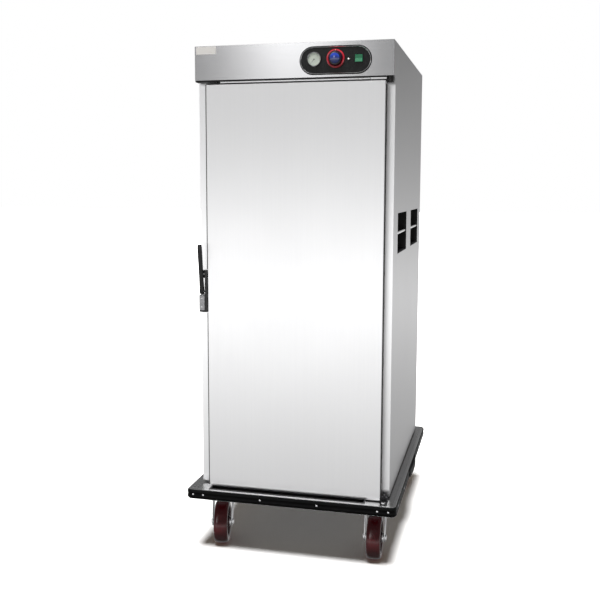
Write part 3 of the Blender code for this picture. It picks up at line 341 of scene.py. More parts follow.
def lamp_or_painted_glow_plastic(name, tone, glow, strength, coat=0.3):
    """Translucent coloured plastic that glows: a lamp lies behind the pilot lens and the rocker; on the
    knob, which has no lamp, the glow is painted light.
    """
    material, tree, shader = make_material(name)
    cloud = object_noise(tree, 120, detail=3)
    tree.links.new(blend_colours(tree, spread(tree, cloud, 0, 1), tone, glow), shader.inputs["Base Color"])
    tree.links.new(spread(tree, cloud, 0.08, 0.14), shader.inputs["Roughness"])
    shader.inputs["Emission Color"].default_value = (*glow, 1)
    shader.inputs["Emission Strength"].default_value = strength
    shader.inputs["Coat Weight"].default_value = coat
    return material


def glass(name):
    """Thin clear lens."""
    material, tree, shader = make_material(name)
    tree.links.new(spread(tree, object_noise(tree, 80), 0.02, 0.06), shader.inputs["Roughness"])
    shader.inputs["Base Color"].default_value = (0.95, 0.97, 0.97, 1)
    shader.inputs["Transmission Weight"].default_value = 1.0
    shader.inputs["IOR"].default_value = 1.1
    shader.inputs["Alpha"].default_value = 0.25
    return material


STEEL_DOOR = steel("door_steel_brushed", (0.74, 0.74, 0.745), "Z", 0.32, 0.80)
# The casing sheets are the same steel as the door, given a darker tone: painted shade on the sides.
STEEL_CASE = steel("case_steel_brushed", (0.61, 0.61, 0.615), "Z", 0.36, 0.50)
STEEL_POST = steel("post_steel_brushed", (0.82, 0.82, 0.825), "Z", 0.32, 0.80)
# The header is the same steel as the door, its tone far darker: painted shade on the header's front.
STEEL_HEADER = steel("header_steel_brushed", (0.33, 0.33, 0.335), "X", 0.16, 0.88)
STEEL_BASE = steel("base_steel_satin", (0.62, 0.62, 0.625), "X", 0.26, 0.30)
STEEL_LIP = steel("channel_steel_satin", (0.72, 0.72, 0.725), "X", 0.24, 0.20)
STEEL_LINER = steel("liner_steel_bright", (0.66, 0.66, 0.665), "Z", 0.28, 0.30)
STEEL_HOT = metal("heater_tube_tinted", (0.28, 0.25, 0.22), 0.42, 0.25)
CHROME = metal("chrome_plate", (0.82, 0.82, 0.83), 0.10)
# Fork chrome darkened well below the other chrome: painted shade for the forks under the deck.
FORK_CHROME_SHADED = metal("fork_chrome_painted_shade", (0.46, 0.46, 0.47), 0.13)
CHROME_DARK = metal("chrome_rim_smoked", (0.30, 0.30, 0.31), 0.16)
ZINC = metal("zinc_housing", (0.34, 0.34, 0.35), 0.42, 0.15)
STEEL_TRIM = steel("trim_steel_brushed", (0.42, 0.42, 0.425), "X", 0.30, 0.60)
SCREW_STEEL = metal("screw_steel", (0.75, 0.75, 0.76), 0.22)
LATCH_BLACK = plastic("latch_black_enamel", (0.008, 0.008, 0.009), 0.30, 1500, 0.05, 0.15)
HINGE_BLACK = plastic("hinge_black_enamel", (0.009, 0.009, 0.010), 0.34, 1500, 0.06, 0.1)
RUBBER = plastic("bumper_rubber", (0.0022, 0.0022, 0.0024), 0.40, 1200, 0.12, 0.0, 1.6, 0.05)
# Black rubber of the door gasket; the same black also paints the shadow lines in the gaps round the door
# and the trim strip.
GASKET_RUBBER_AND_GAP_SHADE = plastic("gasket_rubber_and_gap_shade", (0.012, 0.012, 0.013), 0.60, 1500, 0.15, 0.0, 1.8)
BLACK_ABS = plastic("black_moulded_plastic", (0.020, 0.020, 0.021), 0.46, 1800, 0.25, 0.0, 1.6, 0.25)
PANEL_BLACK = plastic("control_panel_acrylic", (0.006, 0.0065, 0.007), 0.26, 2400, 0.02, 0.0, 1.5, 0.16)
FOAM = plastic("insulation_foam", (0.70, 0.64, 0.42), 0.9, 500, 0.6, 0.0, 1.1)
WHEEL_RED = plastic("wheel_red_polyurethane", (0.115, 0.003, 0.008), 0.20, 700, 0.03, 0.25, 1.3)
CORE_RED = plastic("wheel_core_red", (0.040, 0.003, 0.005), 0.34, 900, 0.06, 0.1, 1.3)
# The knob's red ring and blue dome glow faintly with no lamp in them: a painted highlight.
KNOB_RED_PAINTED_GLOW = lamp_or_painted_glow_plastic("knob_red_ring_painted_glow", (0.36, 0.006, 0.018), (0.62, 0.012, 0.035), 0.10, 1.0)
KNOB_BLUE_PAINTED_GLOW = lamp_or_painted_glow_plastic("knob_blue_cap_painted_glow", (0.004, 0.016, 0.16), (0.006, 0.04, 0.34), 0.14, 1.0)
KNOB_DARK = plastic("knob_dark_body", (0.004, 0.006, 0.018), 0.16, 2000, 0.03, 0.4)
DIAL_FACE = plastic("dial_face_enamel", (0.46, 0.50, 0.45), 0.42, 600, 0.03, 0.1, 1.1)
DIAL_INK = plastic("dial_ink", (0.06, 0.06, 0.06), 0.5, 600, 0.05)
LAMP_CLEAR = lamp_or_painted_glow_plastic("pilot_lamp_lens", (0.80, 0.80, 0.76), (1.0, 1.0, 0.95), 0.35)
ROCKER_GREEN = lamp_or_painted_glow_plastic("rocker_green_lens", (0.002, 0.13, 0.055), (0.004, 0.22, 0.09), 0.34, 0.1)
LABEL_WHITE = plastic("label_white_vinyl", (0.90, 0.90, 0.89), 0.35, 700, 0.03, 0.0, 1.03)
LENS = glass("dial_lens")


# ------------------------ fasteners
def screw_profile(radius, height):
    """A pan head from its rim to its crown, with a shallow drive recess."""
    return [
        (radius * 0.96, -height * 0.4), (radius, 0.0), (radius * 0.97, height * 0.45),
        (radius * 0.80, height * 0.85), (radius * 0.52, height), (radius * 0.42, height),
        (radius * 0.30, height * 0.45), (radius * 0.02, height * 0.40),
    ]


def add_screws(bm, places, radius=0.0040, height=0.0016, steps=18):
    """Pan-head screws at (point, axis) places."""
    for point, axis in places:
        add_lathe(bm, screw_profile(radius, height), steps, point, axis)


def middle_of(node):
    """Centre of a CAD node's box."""
    return [(low + high) / 2 for low, high in zip(*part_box(node))]


def spaced(low, high, count):
    """Evenly spaced values from low to high."""
    return [low + (high - low) * i / (count - 1) for i in range(count)]


# ------------------------ base
def bumper_path(inset, steps=8):
    """The bumper's outline drawn in by a distance, always with the same number of points."""
    half = BUMPER_HALF - Vector((inset, inset))
    return rounded(-half.x, -half.y, half.x, half.y, CORNER_RADIUS - inset, steps)


def build_channel():
    """Rolled metal channel that holds the bumper: a C section swept round the base."""
    low, high = (corner[2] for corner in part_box("bumper_channel"))
    lip = 0.0042
    section = [
        (lip + 0.0004, high - 0.0003), (lip + 0.0012, high), (0.0160, high), (0.0160, low),
        (lip + 0.0012, low), (lip + 0.0004, low + 0.0003), (lip, low + 0.0010),
        (lip + 0.0004, low + 0.0017), (lip + 0.0012, low + 0.0020), (0.0142, low + 0.0020),
        (0.0142, high - 0.0020), (lip + 0.0012, high - 0.0020), (lip + 0.0004, high - 0.0017),
        (lip, high - 0.0010),
    ]
    paths = [(bumper_path(inset), z) for inset, z in section]
    bm = bmesh.new()
    loops = [[Vector((*path[i], z)) for path, z in paths] for i in range(len(paths[0][0]))]
    rings(bm, loops, closed=True)
    piece("bumper_channel_rolled", bm, STEEL_LIP, "cabinet", ["bumper_channel"], 50)


def build_bumper():
    """Two rubber halves with a screw groove, and the covers of their joints."""
    low, high = (corner[2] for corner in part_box("bumper_front"))
    middle = (low + high) / 2
    crown = (high - low) / 2
    section = [(0.0136, low), (0.0040, low), (0.0016, low + 0.0012), (0.0004, low + 0.0040),
               (0.0001, middle - 0.0065), (0.0012, middle - 0.0052), (0.0014, middle),
               (0.0012, middle + 0.0052), (0.0001, middle + 0.0065), (0.0004, high - 0.0040),
               (0.0016, high - 0.0012), (0.0040, high), (0.0136, high)]
    for name, side in (("bumper_front", -1), ("bumper_rear", 1)):
        bm = bmesh.new()
        loops = []
        paths = [half_path(bumper_path(inset), side) for inset, _ in section]
        for i in range(len(paths[0])):
            loops.append([Vector((*path[i], z)) for path, (_, z) in zip(paths, section)])
        rings(bm, loops)
        piece(name + "_rubber", bm, RUBBER, "cabinet", [name], 40)
    for name, side in (("bumper_joint_left", -1), ("bumper_joint_right", 1)):
        lowest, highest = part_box(name)
        foot, crest = sorted((abs(lowest[0]), abs(highest[0])))
        bm = bmesh.new()
        loops = []
        for i in range(25):
            t = i / 24
            y = lowest[1] + (highest[1] - lowest[1]) * t
            bulge = foot + 0.0014 + (crest - foot - 0.0014) * math.sin(math.pi * t) ** 0.6
            loops.append([
                Vector((side * foot, y, middle - crown + 0.001)),
                Vector((side * (bulge - 0.0012), y, middle - crown + 0.0012)),
                Vector((side * bulge, y, middle - crown + 0.0045)),
                Vector((side * bulge, y, middle + crown - 0.0045)),
                Vector((side * (bulge - 0.0012), y, middle + crown - 0.0012)),
                Vector((side * foot, y, middle + crown - 0.001)),
            ])
        rings(bm, loops)
        piece(name + "_cover", bm, RUBBER, "cabinet", [name], 60)
    build_bumper_screws(middle)


def half_path(path, side):
    """The points of a closed outline on one side of Y = 0, ends drawn to the joint."""
    points = [point for point in path if point[1] * side > 0]
    points.sort(key=lambda point: math.atan2(point[0], abs(point[1])))
    end = side * 0.0003
    return [(points[0][0], end)] + points + [(points[-1][0], end)]


def build_bumper_screws(z):
    """Round-head screws sunk in the bumper's groove, all the way round."""
    face = BUMPER_HALF - Vector((0.0016, 0.0016))
    places = []
    for x in BUMPER_SCREWS_X:
        places += [((x, -face.y, z), "-Y"), ((x, face.y, z), "Y")]
    for y in BUMPER_SCREWS_Y:
        places += [((-face.x, y, z), "-X"), ((face.x, y, z), "X")]
    bm = bmesh.new()
    add_screws(bm, places, 0.0034, 0.0012)
    piece("bumper_screws", bm, SCREW_STEEL, "cabinet")


def build_base():
    """Deck, ring frame and drip tray."""
    dress("base_deck", STEEL_BASE, 0.0006)
    dress("base_frame", STEEL_BASE, 0.0006)
    # The drip tray is a real part; its black stands for the dark band in front of the door, painted shade
    # and reflection of the gap under it.
    dress("drip_tray", BLACK_ABS, 0.0004)
    build_channel()
    build_bumper()
    bm = bmesh.new()
    for word in CASTERS:
        x, y, _ = JOINTS["swivel_" + word]["pos_m"]
        for dx in (-0.041, 0.041):
            for dy in (-0.034, 0.034):
                add_lathe(bm, [(0.0085, -0.0012), (0.0085, 0.0), (0.0072, 0.0006), (0.0072, 0.0052),
                               (0.0060, 0.0058)], 6, (x + dx, y + dy, CASTER_PLATE_FACE), "-Z")
    piece("caster_plate_bolts", bm, SCREW_STEEL, "cabinet")


# ------------------------ casters
def caster_frame(word):
    """Matrix from a caster's own frame, swivel axis at the origin, to its place."""
    x, y, _ = JOINTS["swivel_" + word]["pos_m"]
    axle = JOINTS["roll_" + word]["axis"]
    return Matrix.Translation((x, y, 0)) @ Matrix.Rotation(math.atan2(axle[1], axle[0]), 4, "Z")


def leg_outline():
    """Side view of a fork leg: wide at the crown, swept to a round eye at the axle."""
    eye = arc(-CASTER_TRAIL, WHEEL_RADIUS, 0.0165, 175, 352, 14)
    back = [(0.004, 0.110), (0.024, 0.136), (0.032, 0.150), (0.034, 0.1590)]
    front = [(-0.040, 0.1590), (-0.0405, 0.146), (-0.049, 0.120)]
    return eye + back + front


def build_fork(word, place):
    """Ball race, crown, pressed legs and axle bolt of one caster."""
    bm = bmesh.new()
    race = [(0.024, 0.1558), (0.026, 0.1620), (0.0335, 0.1690), (0.0355, 0.1735), (0.0335, 0.1752),
            (0.0320, 0.1756), (0.0320, 0.1768), (0.0338, 0.1774), (0.0355, 0.1795), (0.0340, 0.1835),
            (0.0320, 0.1845)]
    add_lathe(bm, race, 40, (0, 0, 0), "Z")
    add_prism(bm, rounded(-0.0365, -0.0400, 0.0365, 0.0340, 0.009), "Z", 0.1556, 0.1600, 0.0012)
    for low in (-0.0363, 0.0332):
        add_prism(bm, leg_outline(), "X", low, low + 0.0031, 0.0009)
    for side in (-1, 1):
        add_prism(bm, [(-0.030, 0.1500), (0.024, 0.1500), (0.018, 0.128), (-0.030, 0.118)], "X",
                  *sorted((side * 0.0360, side * 0.0371)), 0.0005)
    bm.transform(place)
    piece("fork_" + word, bm, FORK_CHROME_SHADED, "caster_" + word, ["caster_fork_" + word], 40)
    bm = bmesh.new()
    eye = (0, -CASTER_TRAIL, WHEEL_RADIUS)
    for side, axis in ((-1, "-X"), (1, "X")):
        add_lathe(bm, [(0.0112, 0.0360), (0.0112, 0.0368), (0.0100, 0.0372)], 24, eye, axis)
        add_lathe(bm, [(0.0094, 0.0370), (0.0094, 0.0400), (0.0080, 0.0409)], 6, eye, axis)
    add_lathe(bm, [(0.0060, -0.0406), (0.0060, 0.0406)], 20, eye, "X")
    add_lathe(bm, [(0.0110, 0.1480), (0.0110, 0.1550), (0.0090, 0.1560)], 6, (0, 0, 0), "Z")
    bm.transform(place)
    piece("axle_bolt_" + word, bm, SCREW_STEEL, "caster_" + word)


def build_wheel(word, place):
    """Rounded tread, ribbed core and bearing of one wheel."""
    r = WHEEL_RADIUS
    eye = (0, -CASTER_TRAIL, r)
    half = [(0.0545, 0.0150), (0.0555, 0.0240), (0.0640, 0.0247), (0.0690, 0.0237), (0.0722, 0.0205),
            (0.0740, 0.0155), (0.0748, 0.0090)]
    tread = [(0.0750, 0.0)] + half[::-1] + [(radius, -height) for radius, height in half]
    bm = bmesh.new()
    add_ring_lathe(bm, tread, 72, eye, "X")
    bm.transform(place)
    piece("tread_" + word, bm, WHEEL_RED, "roller_" + word, ["wheel_" + word], 50)
    core = [(0.0160, -0.0255), (0.0190, -0.0250), (0.0205, -0.0190), (0.0480, -0.0180),
            (0.0510, -0.0220), (0.0556, -0.0230), (0.0556, 0.0230), (0.0510, 0.0220),
            (0.0480, 0.0180), (0.0205, 0.0190), (0.0190, 0.0250), (0.0160, 0.0255)]
    bm = bmesh.new()
    add_ring_lathe(bm, core, 60, eye, "X")
    for i in range(8):
        rib = bmesh.new()
        add_box(rib, (-0.0216, -0.0018, 0.0190), (0.0216, 0.0018, 0.0520), 0.0008, 2)
        rib.transform(Matrix.Translation(eye) @ Matrix.Rotation(math.radians(45 * i + 10), 4, "X"))
        absorb(bm, rib)
    bm.transform(place)
    piece("core_" + word, bm, CORE_RED, "roller_" + word)
    hub = [(0.0067, -0.0312), (0.0150, -0.0312), (0.0162, -0.0292), (0.0162, 0.0292),
           (0.0150, 0.0312), (0.0067, 0.0312)]
    bm = bmesh.new()
    add_ring_lathe(bm, hub, 36, eye, "X")
    bm.transform(place)
    piece("bearing_" + word, bm, SCREW_STEEL, "roller_" + word)


def absorb(bm, other):
    """Move the contents of another bmesh into bm."""
    mesh = bpy.data.meshes.new("scratch")
    other.to_mesh(mesh)
    other.free()
    bm.from_mesh(mesh)
    bpy.data.meshes.remove(mesh)


def build_casters():
    """All four casters."""
    for word in CASTERS:
        place = caster_frame(word)
        build_fork(word, place)
        build_wheel(word, place)


# ------------------------ body
def build_casing():
    """Sheet-metal casing and its rear screws."""
    for node in ("side_panel_left", "side_panel_right", "back_panel", "top_panel", "bottom_panel"):
        dress(node, STEEL_CASE, 0.0004)
    dress("front_frame", STEEL_POST, 0.0004)
    dress("header_fascia", STEEL_HEADER, 0.0004)
    dress("lintel_trim", STEEL_TRIM, 0.0003)
    dress("insulation", FOAM)
    low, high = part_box("back_panel")
    rear = high[1]
    places = []
    for z in spaced(low[2] + 0.030, high[2] - 0.030, 8):
        places += [((low[0] + 0.012, rear, z), "Y"), ((high[0] - 0.012, rear, z), "Y")]
    for x in spaced(low[0] + 0.140, high[0] - 0.140, 4):
        places += [((x, rear, low[2] + 0.012), "Y"), ((x, rear, high[2] - 0.012), "Y")]
    bm = bmesh.new()
    add_screws(bm, places, 0.0042, 0.0018)
    piece("back_panel_screws", bm, SCREW_STEEL, "cabinet")


def build_gap_shadow_beads():
    """Black beads as painted shadow lines in the gaps round the trim strip, under the header and beside the
    door; the bracket's cover.
    """
    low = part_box("header_fascia")[0]
    trim_low, trim_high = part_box("lintel_trim")
    door_low, door_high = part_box("door_skin")
    under = low[2] - 0.0003
    front = low[1] + 0.0008
    left, right = trim_low[0], trim_high[0]
    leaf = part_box("hinge_bracket_top")[0][0] - 0.0005
    top = door_high[2]
    bm = bmesh.new()
    # Each bead is a black strip standing for a shadowed gap: painted shadow, not a seal.
    beads = [
        (low[0] + 0.001, front, under - 0.0046, left - 0.0004, front + 0.030, under),
        (left - 0.0046, front + 0.001, top + 0.0030, left - 0.0004, front + 0.020, under - 0.0040),
        (left, front, under - 0.0044, leaf, front + 0.004, under),
        (door_low[0] + 0.0005, front, top + 0.0003, right, front + 0.010, top + 0.0040),
    ]
    for x0, y0, z0, x1, y1, z1 in beads:
        add_box(bm, (x0, y0, z0), (x1, y1, z1), 0.0004, 2)
    piece("header_gap_shadow_beads", bm, GASKET_RUBBER_AND_GAP_SHADE, "cabinet")
    bm = bmesh.new()
    add_box(bm, (right + 0.0010, front, top + 0.0032), (leaf, front + 0.012, under - 0.0046), 0.0005, 2)
    piece("hinge_bracket_cover", bm, STEEL_TRIM, "cabinet")
    # Black beads beside the door's edges: painted shadow lines in the gaps at the posts.
    bm = bmesh.new()
    left, right = door_low[0], door_high[0]
    add_box(bm, (left - 0.0030, door_low[1] + 0.0022, door_low[2] + 0.005),
            (left - 0.0002, door_low[1] + 0.0075, LATCH_BOTTOM - 0.003), 0.0006, 2)
    add_box(bm, (left - 0.0030, door_low[1] + 0.0022, LATCH_TOP + 0.003),
            (left - 0.0002, door_low[1] + 0.0075, top - 0.001), 0.0006, 2)
    add_box(bm, (right + 0.0002, door_low[1] + 0.0022, door_low[2] + 0.062),
            (right + 0.0012, door_high[1] - 0.0005, top - 0.010), 0.0004, 2)
    piece("door_edge_shadow_beads", bm, GASKET_RUBBER_AND_GAP_SHADE, "door")


def build_label():
    """Plain white label on the header's corner, nothing printed on it."""
    low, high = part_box("header_fascia")
    face = low[1]
    bm = bmesh.new()
    add_prism(bm, rounded(low[0] + 0.0050, high[2] - 0.0270, low[0] + 0.0750, high[2] - 0.0020, 0.0015),
              "Y", face - 0.0005, face - 0.0001, 0.0001, 1)
    piece("header_label", bm, LABEL_WHITE, "cabinet")


def build_grips():
    """Black cups behind the side windows and the polished bars through them."""
    for side in ("left", "right"):
        for row in ("front", "rear"):
            dress("grip_cup_" + row + "_" + side, BLACK_ABS, 0.0008)
        node = "grip_bar_" + side
        low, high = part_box(node)
        x, _, z = middle_of(node)
        radius = (high[0] - low[0]) / 2
        length = high[1] - low[1]
        bm = bmesh.new()
        add_lathe(bm, [(radius - 0.0008, 0), (radius, 0.0008), (radius, length - 0.0008),
                       (radius - 0.0008, length)], 28, (x, low[1], z), "Y")
        piece(node + "_polished", bm, CHROME, "cabinet", [node])


# ------------------------ door
def build_door():
    """Door pan with folded edges, inner sheet and ribbed gasket."""
    low, high = (Vector(corner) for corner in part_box("door_skin"))
    bm = bmesh.new()
    fold = 0.0022
    thickness = 0.0012
    stations = [(low.y, fold), (low.y + 0.0003, 0.0012), (low.y + 0.0009, 0.0004),
                (low.y + fold, 0.0), (high.y, 0.0), (high.y, thickness),
                (low.y + fold, thickness), (low.y + thickness, fold)]
    loops = []
    for y, inset in stations:
        outline = rounded(low.x + inset, low.z + inset, high.x - inset, high.z - inset,
                          0.0030 - min(inset, 0.0022), 4)
        loops.append([(x, y, z) for x, z in outline])
    rings(bm, loops)
    piece("door_pan", bm, STEEL_DOOR, "door", ["door_skin"], 32)
    dress("door_liner", STEEL_LINER, 0.0003)
    dress("door_core", FOAM)
    build_gasket()


def build_gasket():
    """Bellows section swept round the door's back."""
    low, high = (Vector(corner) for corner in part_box("door_gasket"))
    depth = high.y - low.y
    width = 0.0120
    section = [(0.0, 0.0), (0.0, 0.30), (0.0016, 0.42), (0.0004, 0.58), (0.0014, 0.88), (0.0038, 1.0),
               (0.0085, 1.0), (0.0108, 0.86), (0.0116, 0.60), (0.0104, 0.44), (width, 0.30), (width, 0.0)]
    bm = bmesh.new()
    frames = [
        rounded(low.x + inset, low.z + inset, high.x - inset, high.z - inset, 0.0145 - inset, 6)
        for inset, _ in section
    ]
    loops = [
        [Vector((frame_loop[i][0], low.y + depth * t, frame_loop[i][1]))
         for frame_loop, (_, t) in zip(frames, section)]
        for i in range(len(frames[0]))
    ]
    rings(bm, loops, closed=True)
    piece("door_gasket_bellows", bm, GASKET_RUBBER_AND_GAP_SHADE, "door", ["door_gasket"], 50)


def build_hinges():
    """Hinge hardware keeps its CAD shape, with radiused edges, and gains its screws."""
    for end in ("top", "bottom"):
        dress("hinge_bracket_" + end, HINGE_BLACK, 0.0004)
        dress("hinge_strap_" + end, HINGE_BLACK, 0.0003)
    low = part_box("hinge_bracket_bottom")[0]
    middle = middle_of("hinge_bracket_bottom")[0]
    bm = bmesh.new()
    add_lathe(bm, [(0.0085, 0.0), (0.0085, 0.0010), (0.0070, 0.0012), (0.0070, 0.0040), (0.0058, 0.0048)],
              6, (middle, low[1] + 0.0100, low[2] + 0.0019), "Z")
    piece("hinge_bolt_bottom", bm, SCREW_STEEL, "cabinet")
    leaf_low, leaf_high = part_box("hinge_strap_top")
    bm = bmesh.new()
    y = middle_of("hinge_strap_top")[1]
    add_screws(bm, [((leaf_low[0] + dx, y, leaf_high[2] - 0.0004), "Z") for dx in (0.010, 0.030)],
               0.0036, 0.0014)
    piece("hinge_leaf_screws", bm, SCREW_STEEL, "door")


LEVER_STATIONS = [
    # (height over the pivot, front y, back y, half width) of the paddle's section
    (-0.0105, -0.0030, 0.0030, 0.0050), (-0.0085, -0.0075, 0.0065, 0.0068),
    (-0.0030, -0.0094, 0.0082, 0.0076), (0.0060, -0.0098, 0.0080, 0.0078),
    (0.0200, -0.0112, 0.0050, 0.0074), (0.0450, -0.0140, 0.0010, 0.0070),
    (0.0800, -0.0178, -0.0040, 0.0072), (0.1150, -0.0218, -0.0090, 0.0076),
    (0.1400, -0.0248, -0.0126, 0.0078), (0.1540, -0.0258, -0.0150, 0.0076),
    (0.1600, -0.0252, -0.0168, 0.0068), (0.1622, -0.0236, -0.0180, 0.0050),
]


def build_lever():
    """Paddle of the latch: a soft section lofted along the lever."""
    _, pivot_y, pivot_z = JOINTS["latch_pull"]["pos_m"]
    centre = middle_of("latch_lever")[0]
    bm = bmesh.new()
    loops = []
    for z, front, back, half in LEVER_STATIONS:
        middle = (front + back) / 2
        depth = (back - front) / 2
        loop = []
        for i in range(24):
            a = 2 * math.pi * i / 24
            cx = math.copysign(abs(math.cos(a)) ** 0.6, math.cos(a))
            cy = math.copysign(abs(math.sin(a)) ** 0.6, math.sin(a))
            loop.append(Vector((centre + half * cx, pivot_y + middle + depth * cy, pivot_z + z)))
        loops.append(loop)
    rings(bm, loops)
    piece("latch_paddle_moulded", bm, LATCH_BLACK, "latch_paddle", ["latch_lever"], 60)
    bm = bmesh.new()
    for x, axis in ((centre - 0.0078, "-X"), (centre + 0.0078, "X")):
        add_lathe(bm, [(0.0042, -0.0004), (0.0042, 0.0002), (0.0030, 0.0005)], 16,
                  (x, pivot_y, pivot_z), axis)
    piece("latch_pivot_caps", bm, SCREW_STEEL, "latch_paddle")


def build_latch():
    """Latch base plate, grey magnet housing, lever pin, screws and the strike."""
    low, high = (Vector(corner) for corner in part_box("latch_base"))
    front = low.y + 0.0020
    pivot = JOINTS["latch_pull"]["pos_m"]
    bm = bmesh.new()
    add_box(bm, (LATCH_PLATE_X, front, low.z), (high.x, front + 0.0320, high.z), 0.0016, 3)
    add_box(bm, (-0.3165, front + 0.0080, high.z - 0.0280),
            (LATCH_PLATE_X + 0.002, front + 0.0200, high.z - 0.0003), 0.0014, 3)
    add_box(bm, (LATCH_OUTER_X, front - 0.0010, low.z + 0.0001),
            (LATCH_PLATE_X + 0.002, front + 0.0360, low.z + 0.0050), 0.0012, 3)
    add_lathe(bm, [(0.0029, -0.0170), (0.0029, 0.0010)], 16, (LATCH_PLATE_X, pivot[1], pivot[2]), "X")
    piece("latch_base_plate", bm, LATCH_BLACK, "door", ["latch_base"])
    bm = bmesh.new()
    add_box(bm, (LATCH_OUTER_X + 0.0002, low.y, low.z + 0.0054),
            (LATCH_PLATE_X - 0.0001, high.y, MAGNET_TOP), 0.0022, 4)
    piece("latch_magnet_housing", bm, ZINC, "door")
    bm = bmesh.new()
    add_screws(bm, [((-0.3180, low.y + 0.0002, z), "-Y") for z in (low.z + 0.018, 0.9000)]
               + [((-0.3120, front + 0.0080, high.z - 0.0140), "-Y")], 0.0032, 0.0012)
    piece("latch_screws", bm, SCREW_STEEL, "door")
    dress("latch_strike", CHROME, 0.0005)


# ------------------------ controls
def build_bezel():
    """Rolled rim of the control plate: a dark outer seal and a bright inner bead."""
    low, high = (Vector(corner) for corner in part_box("control_bezel"))
    centre = (low + high) / 2
    half = (high - low) / 2
    bands = [
        ("control_rim_dark", PANEL_BLACK, ["control_bezel"],
         [(0.0, 0.0), (0.0, 0.55), (0.0005, 0.72), (0.0012, 0.78), (0.0020, 0.70), (0.0024, 0.5),
          (0.0024, 0.0)]),
        ("control_rim_bright", CHROME, [],
         [(0.0025, 0.0), (0.0025, 0.60), (0.0030, 0.88), (0.0037, 1.0), (0.0045, 0.90), (0.0050, 0.6),
          (0.0050, 0.0)]),
    ]
    depth = high.y - low.y
    for name, material, replaced, section in bands:
        outlines = [stadium(centre.x, centre.z, half.x - inset, half.z - inset) for inset, _ in section]
        loops = [
            [Vector((outline[i][0], high.y - depth * t, outline[i][1]))
             for outline, (_, t) in zip(outlines, section)]
            for i in range(len(outlines[0]))
        ]
        bm = bmesh.new()
        rings(bm, loops, closed=True)
        piece(name, bm, material, "cabinet", replaced, 60)
    dress("control_plate", PANEL_BLACK, 0.0002)


def build_thermometer():
    """Dark rim, pale dial with ticks, needle and lens."""
    x, _, z = middle_of("thermometer_case")
    low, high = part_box("thermometer_case")
    front, back = low[1], high[1]
    bm = bmesh.new()
    rim = [(0.0206, 0.0), (0.0238, 0.0), (0.0240, 0.0030), (0.0236, 0.0052), (0.0226, 0.0063),
           (0.0214, 0.0060), (0.0206, 0.0040)]
    base = front + 0.0066
    add_ring_lathe(bm, rim, 56, (x, base, z), "-Y")
    piece("thermometer_rim", bm, CHROME_DARK, "cabinet")
    bm = bmesh.new()
    add_lathe(bm, [(0.0206, base - back), (0.0206, 0.0020), (0.0198, 0.0024), (0.0190, 0.0021)], 48,
              (x, base, z), "-Y")
    piece("thermometer_dial", bm, DIAL_FACE, "cabinet", ["thermometer_case"])
    bm = bmesh.new()
    for i in range(27):
        major = i % 2 == 0
        tick = bmesh.new()
        add_box(tick, (0.0160 if major else 0.0172, -0.00022, -0.00008), (0.0186, 0.00022, 0.00008))
        angle = math.radians(225 - 10 * i)
        spot = Matrix.Translation((x, base - 0.0022, z))
        tick.transform(spot @ AXES["-Y"] @ Matrix.Rotation(angle, 4, "Z"))
        absorb(bm, tick)
    piece("thermometer_ticks", bm, DIAL_INK, "cabinet")
    dress("thermometer_needle", DIAL_INK, 0.0001, 1)
    bm = bmesh.new()
    add_lathe(bm, [(0.0207, 0.0046), (0.0207, 0.0050), (0.0150, 0.0056), (0.0080, 0.0060),
                   (0.0002, 0.0061)], 48, (x, base, z), "-Y")
    piece("thermometer_lens", bm, LENS, "cabinet")


def build_knob():
    """Red ring, dark waist and glossy blue dome."""
    low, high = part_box("thermostat_knob")
    centre = JOINTS["thermostat_turn"]["pos_m"]
    x, z = centre[0], centre[2]
    seat = frame_face("control_plate")
    reach = seat - low[1]
    bm = bmesh.new()
    ring = [(0.0235, 0.0012), (0.0292, 0.0010), (0.0299, 0.0022), (0.0299, 0.0050), (0.0288, 0.0072),
            (0.0268, 0.0082), (0.0248, 0.0076), (0.0235, 0.0058)]
    add_ring_lathe(bm, ring, 72, (x, seat, z), "-Y")
    piece("knob_red_ring_painted_glow", bm, KNOB_RED_PAINTED_GLOW, "knob")
    bm = bmesh.new()
    waist = [(0.0030, seat - high[1]), (0.0030, 0.0010), (0.0236, 0.0012), (0.0236, 0.0060),
             (0.0226, 0.0072), (0.0212, 0.0100), (0.0206, 0.0148), (0.0196, 0.0162), (0.0172, 0.0164),
             (0.0168, 0.0150), (0.0120, 0.0148)]
    add_lathe(bm, waist, 64, (x, seat, z), "-Y")
    piece("knob_waist", bm, KNOB_DARK, "knob", ["thermostat_knob"])
    bm = bmesh.new()
    radius = 0.0164
    crown = [(radius, 0.0150), (radius, 0.0180)]
    crown += [(radius * math.cos(math.radians(a)), 0.0180 + (reach - 0.0180) * math.sin(math.radians(a)))
              for a in (12, 24, 36, 48, 60, 72, 82)]
    crown += [(0.0002, reach)]
    add_lathe(bm, crown, 56, (x, seat, z), "-Y")
    piece("knob_blue_dome", bm, KNOB_BLUE_PAINTED_GLOW, "knob")
    bm = bmesh.new()
    add_box(bm, (x - 0.0006, seat - 0.0084, z + 0.0250), (x + 0.0006, seat - 0.0074, z + 0.0280), 0.0002, 2)
    piece("knob_mark", bm, LABEL_WHITE, "knob")


def frame_face(node):
    """The front face's Y of a CAD node."""
    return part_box(node)[0][1]


